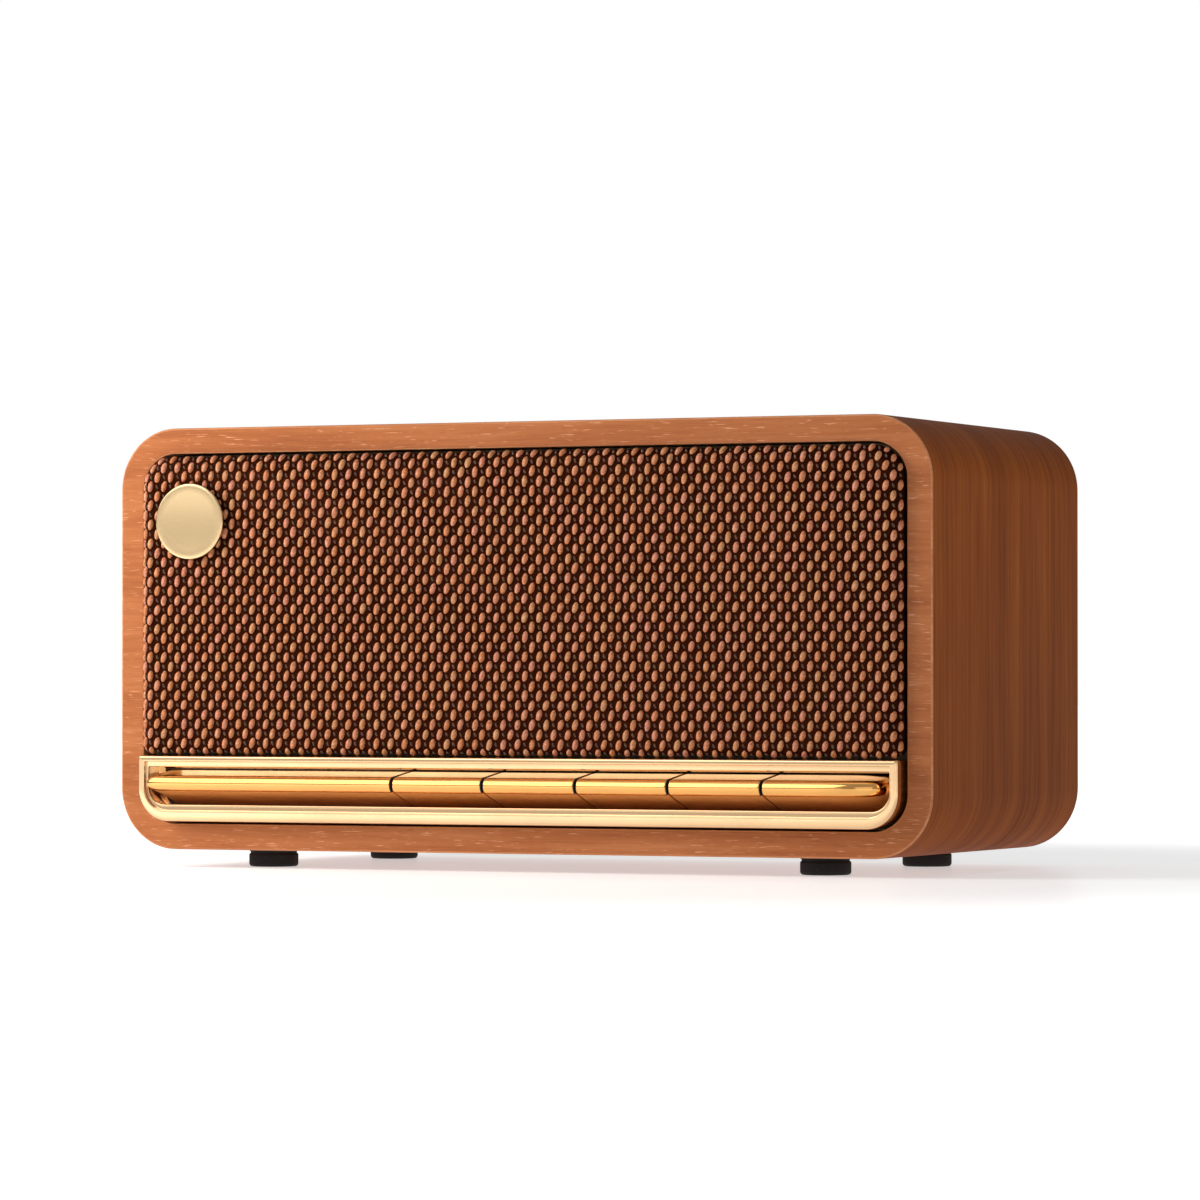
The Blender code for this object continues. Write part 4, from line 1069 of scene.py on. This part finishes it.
# ---------------------------------------------------------------- stage
def area(name, where, target, size, power, colour=(1.0, 1.0, 1.0)):
    light = bpy.data.lights.new(name, "AREA")
    light.shape = "RECTANGLE"
    light.size, light.size_y = size
    light.energy = power
    light.color = colour
    obj = bpy.data.objects.new(name, light)
    obj.location = where
    obj.rotation_euler = (Vector(target) - Vector(where)).to_track_quat("-Z", "Y").to_euler()
    bpy.context.scene.collection.objects.link(obj)
    return obj


def make_stage():
    scene = bpy.context.scene
    scene.view_settings.view_transform = "Standard"
    scene.view_settings.look = "None"
    scene.view_settings.exposure = 0.0
    scene.view_settings.gamma = 1.0

    # A pale floor that glows, more strongly away from the object: painted light that whitens the floor and washes out
    # the shadows further from it.
    k = Look("studio_floor", Specular_IOR_Level=0.3)
    cloud = k.noise(k.coords(), 3.0, 2.0)
    far = k.node("ShaderNodeVectorMath", {0: k.coords()}, operation="LENGTH").outputs["Value"]
    look = k.done(k.mix(k.grey(cloud, 0.3, 0.7), (0.90, 0.90, 0.90), (0.88, 0.88, 0.88)), k.grey(cloud, 0.3, 0.7, 0.30, 0.34))
    k.b.inputs["Emission Color"].default_value = (1, 1, 1, 1)
    k.put(k.b.inputs["Emission Strength"], k.grey(far, 0.20, 0.50, 0.50, 1.0))
    verts, faces = [], []
    size, cells = 9.0, 12
    for i in range(cells + 1):
        for j in range(cells + 1):
            verts.append((size * (2 * i / cells - 1), size * (2 * j / cells - 1), 0.0))
    for i in range(cells):
        for j in range(cells):
            a = i * (cells + 1) + j
            faces.append((a, a + cells + 1, a + cells + 2, a + 1))
    mesh = bpy.data.meshes.new("studio_floor")
    mesh.from_pydata(verts, [], faces)
    mesh.materials.append(look)
    floor = bpy.data.objects.new("studio_floor", mesh)
    scene.collection.objects.link(floor)

    world = bpy.data.worlds.new("studio")
    scene.world = world
    world.use_nodes = True
    t = world.node_tree
    t.nodes.clear()
    out = t.nodes.new("ShaderNodeOutputWorld")
    path = t.nodes.new("ShaderNodeLightPath")
    soft = t.nodes.new("ShaderNodeBackground")
    soft.inputs["Color"].default_value = (1, 1, 1, 1)
    soft.inputs["Strength"].default_value = 0.13
    white = t.nodes.new("ShaderNodeBackground")
    white.inputs["Color"].default_value = (1, 1, 1, 1)
    white.inputs["Strength"].default_value = 1.0
    gloss = t.nodes.new("ShaderNodeBackground")
    gloss.inputs["Color"].default_value = (1, 1, 1, 1)
    gloss.inputs["Strength"].default_value = 0.42
    pick = t.nodes.new("ShaderNodeMixShader")
    t.links.new(path.outputs["Is Glossy Ray"], pick.inputs[0])
    t.links.new(soft.outputs[0], pick.inputs[1])
    t.links.new(gloss.outputs[0], pick.inputs[2])
    mix = t.nodes.new("ShaderNodeMixShader")
    t.links.new(path.outputs["Is Camera Ray"], mix.inputs[0])
    t.links.new(pick.outputs[0], mix.inputs[1])
    t.links.new(white.outputs[0], mix.inputs[2])
    t.links.new(mix.outputs[0], out.inputs["Surface"])

    camera = bpy.data.cameras.new("camera")
    camera.sensor_width = 36.0
    camera.lens = 167.117
    camera.clip_start, camera.clip_end = 0.05, 40.0
    eye = bpy.data.objects.new("camera", camera)
    eye.location = (0.7112, -1.5664, 0.0583)
    aim = Vector((-0.000158, 0.004, 0.082306))
    eye.rotation_euler = (aim - Vector(eye.location)).to_track_quat("-Z", "Y").to_euler()
    scene.collection.objects.link(eye)
    scene.camera = eye

    # a small near light for diffuse surfaces, and a tall softbox that only shines on glossy ones
    area("near_left", (-0.47, -0.34, 0.28), (-0.10, -0.06, 0.08), (0.30, 0.30), 3.55, (1.0, 0.985, 0.97)).visible_glossy = False
    area("front_panel", (-0.95, -1.75, 0.30), (-0.05, -0.06, 0.08), (1.6, 1.0), 1.7, (1.0, 0.985, 0.97))
    area("softbox", (-1.00, -0.95, 1.02), (-0.05, -0.06, 0.03), (1.7, 1.4), 19.0).visible_diffuse = False
    area("right_panel", (0.80, -1.25, 0.34), (0.0, -0.06, 0.05), (1.0, 0.8), 1.4)
    area("top_soft", (0.0, 0.1, 1.3), (0.0, 0.05, 0.0), (1.3, 0.9), 2.5)


make_cabinet()
make_feet()
make_grille()
make_grille_frame()
make_surrounds()
make_badge()
make_bezel()
make_keys()
make_screws()
make_port()
make_io()
paint_all()
make_stage()
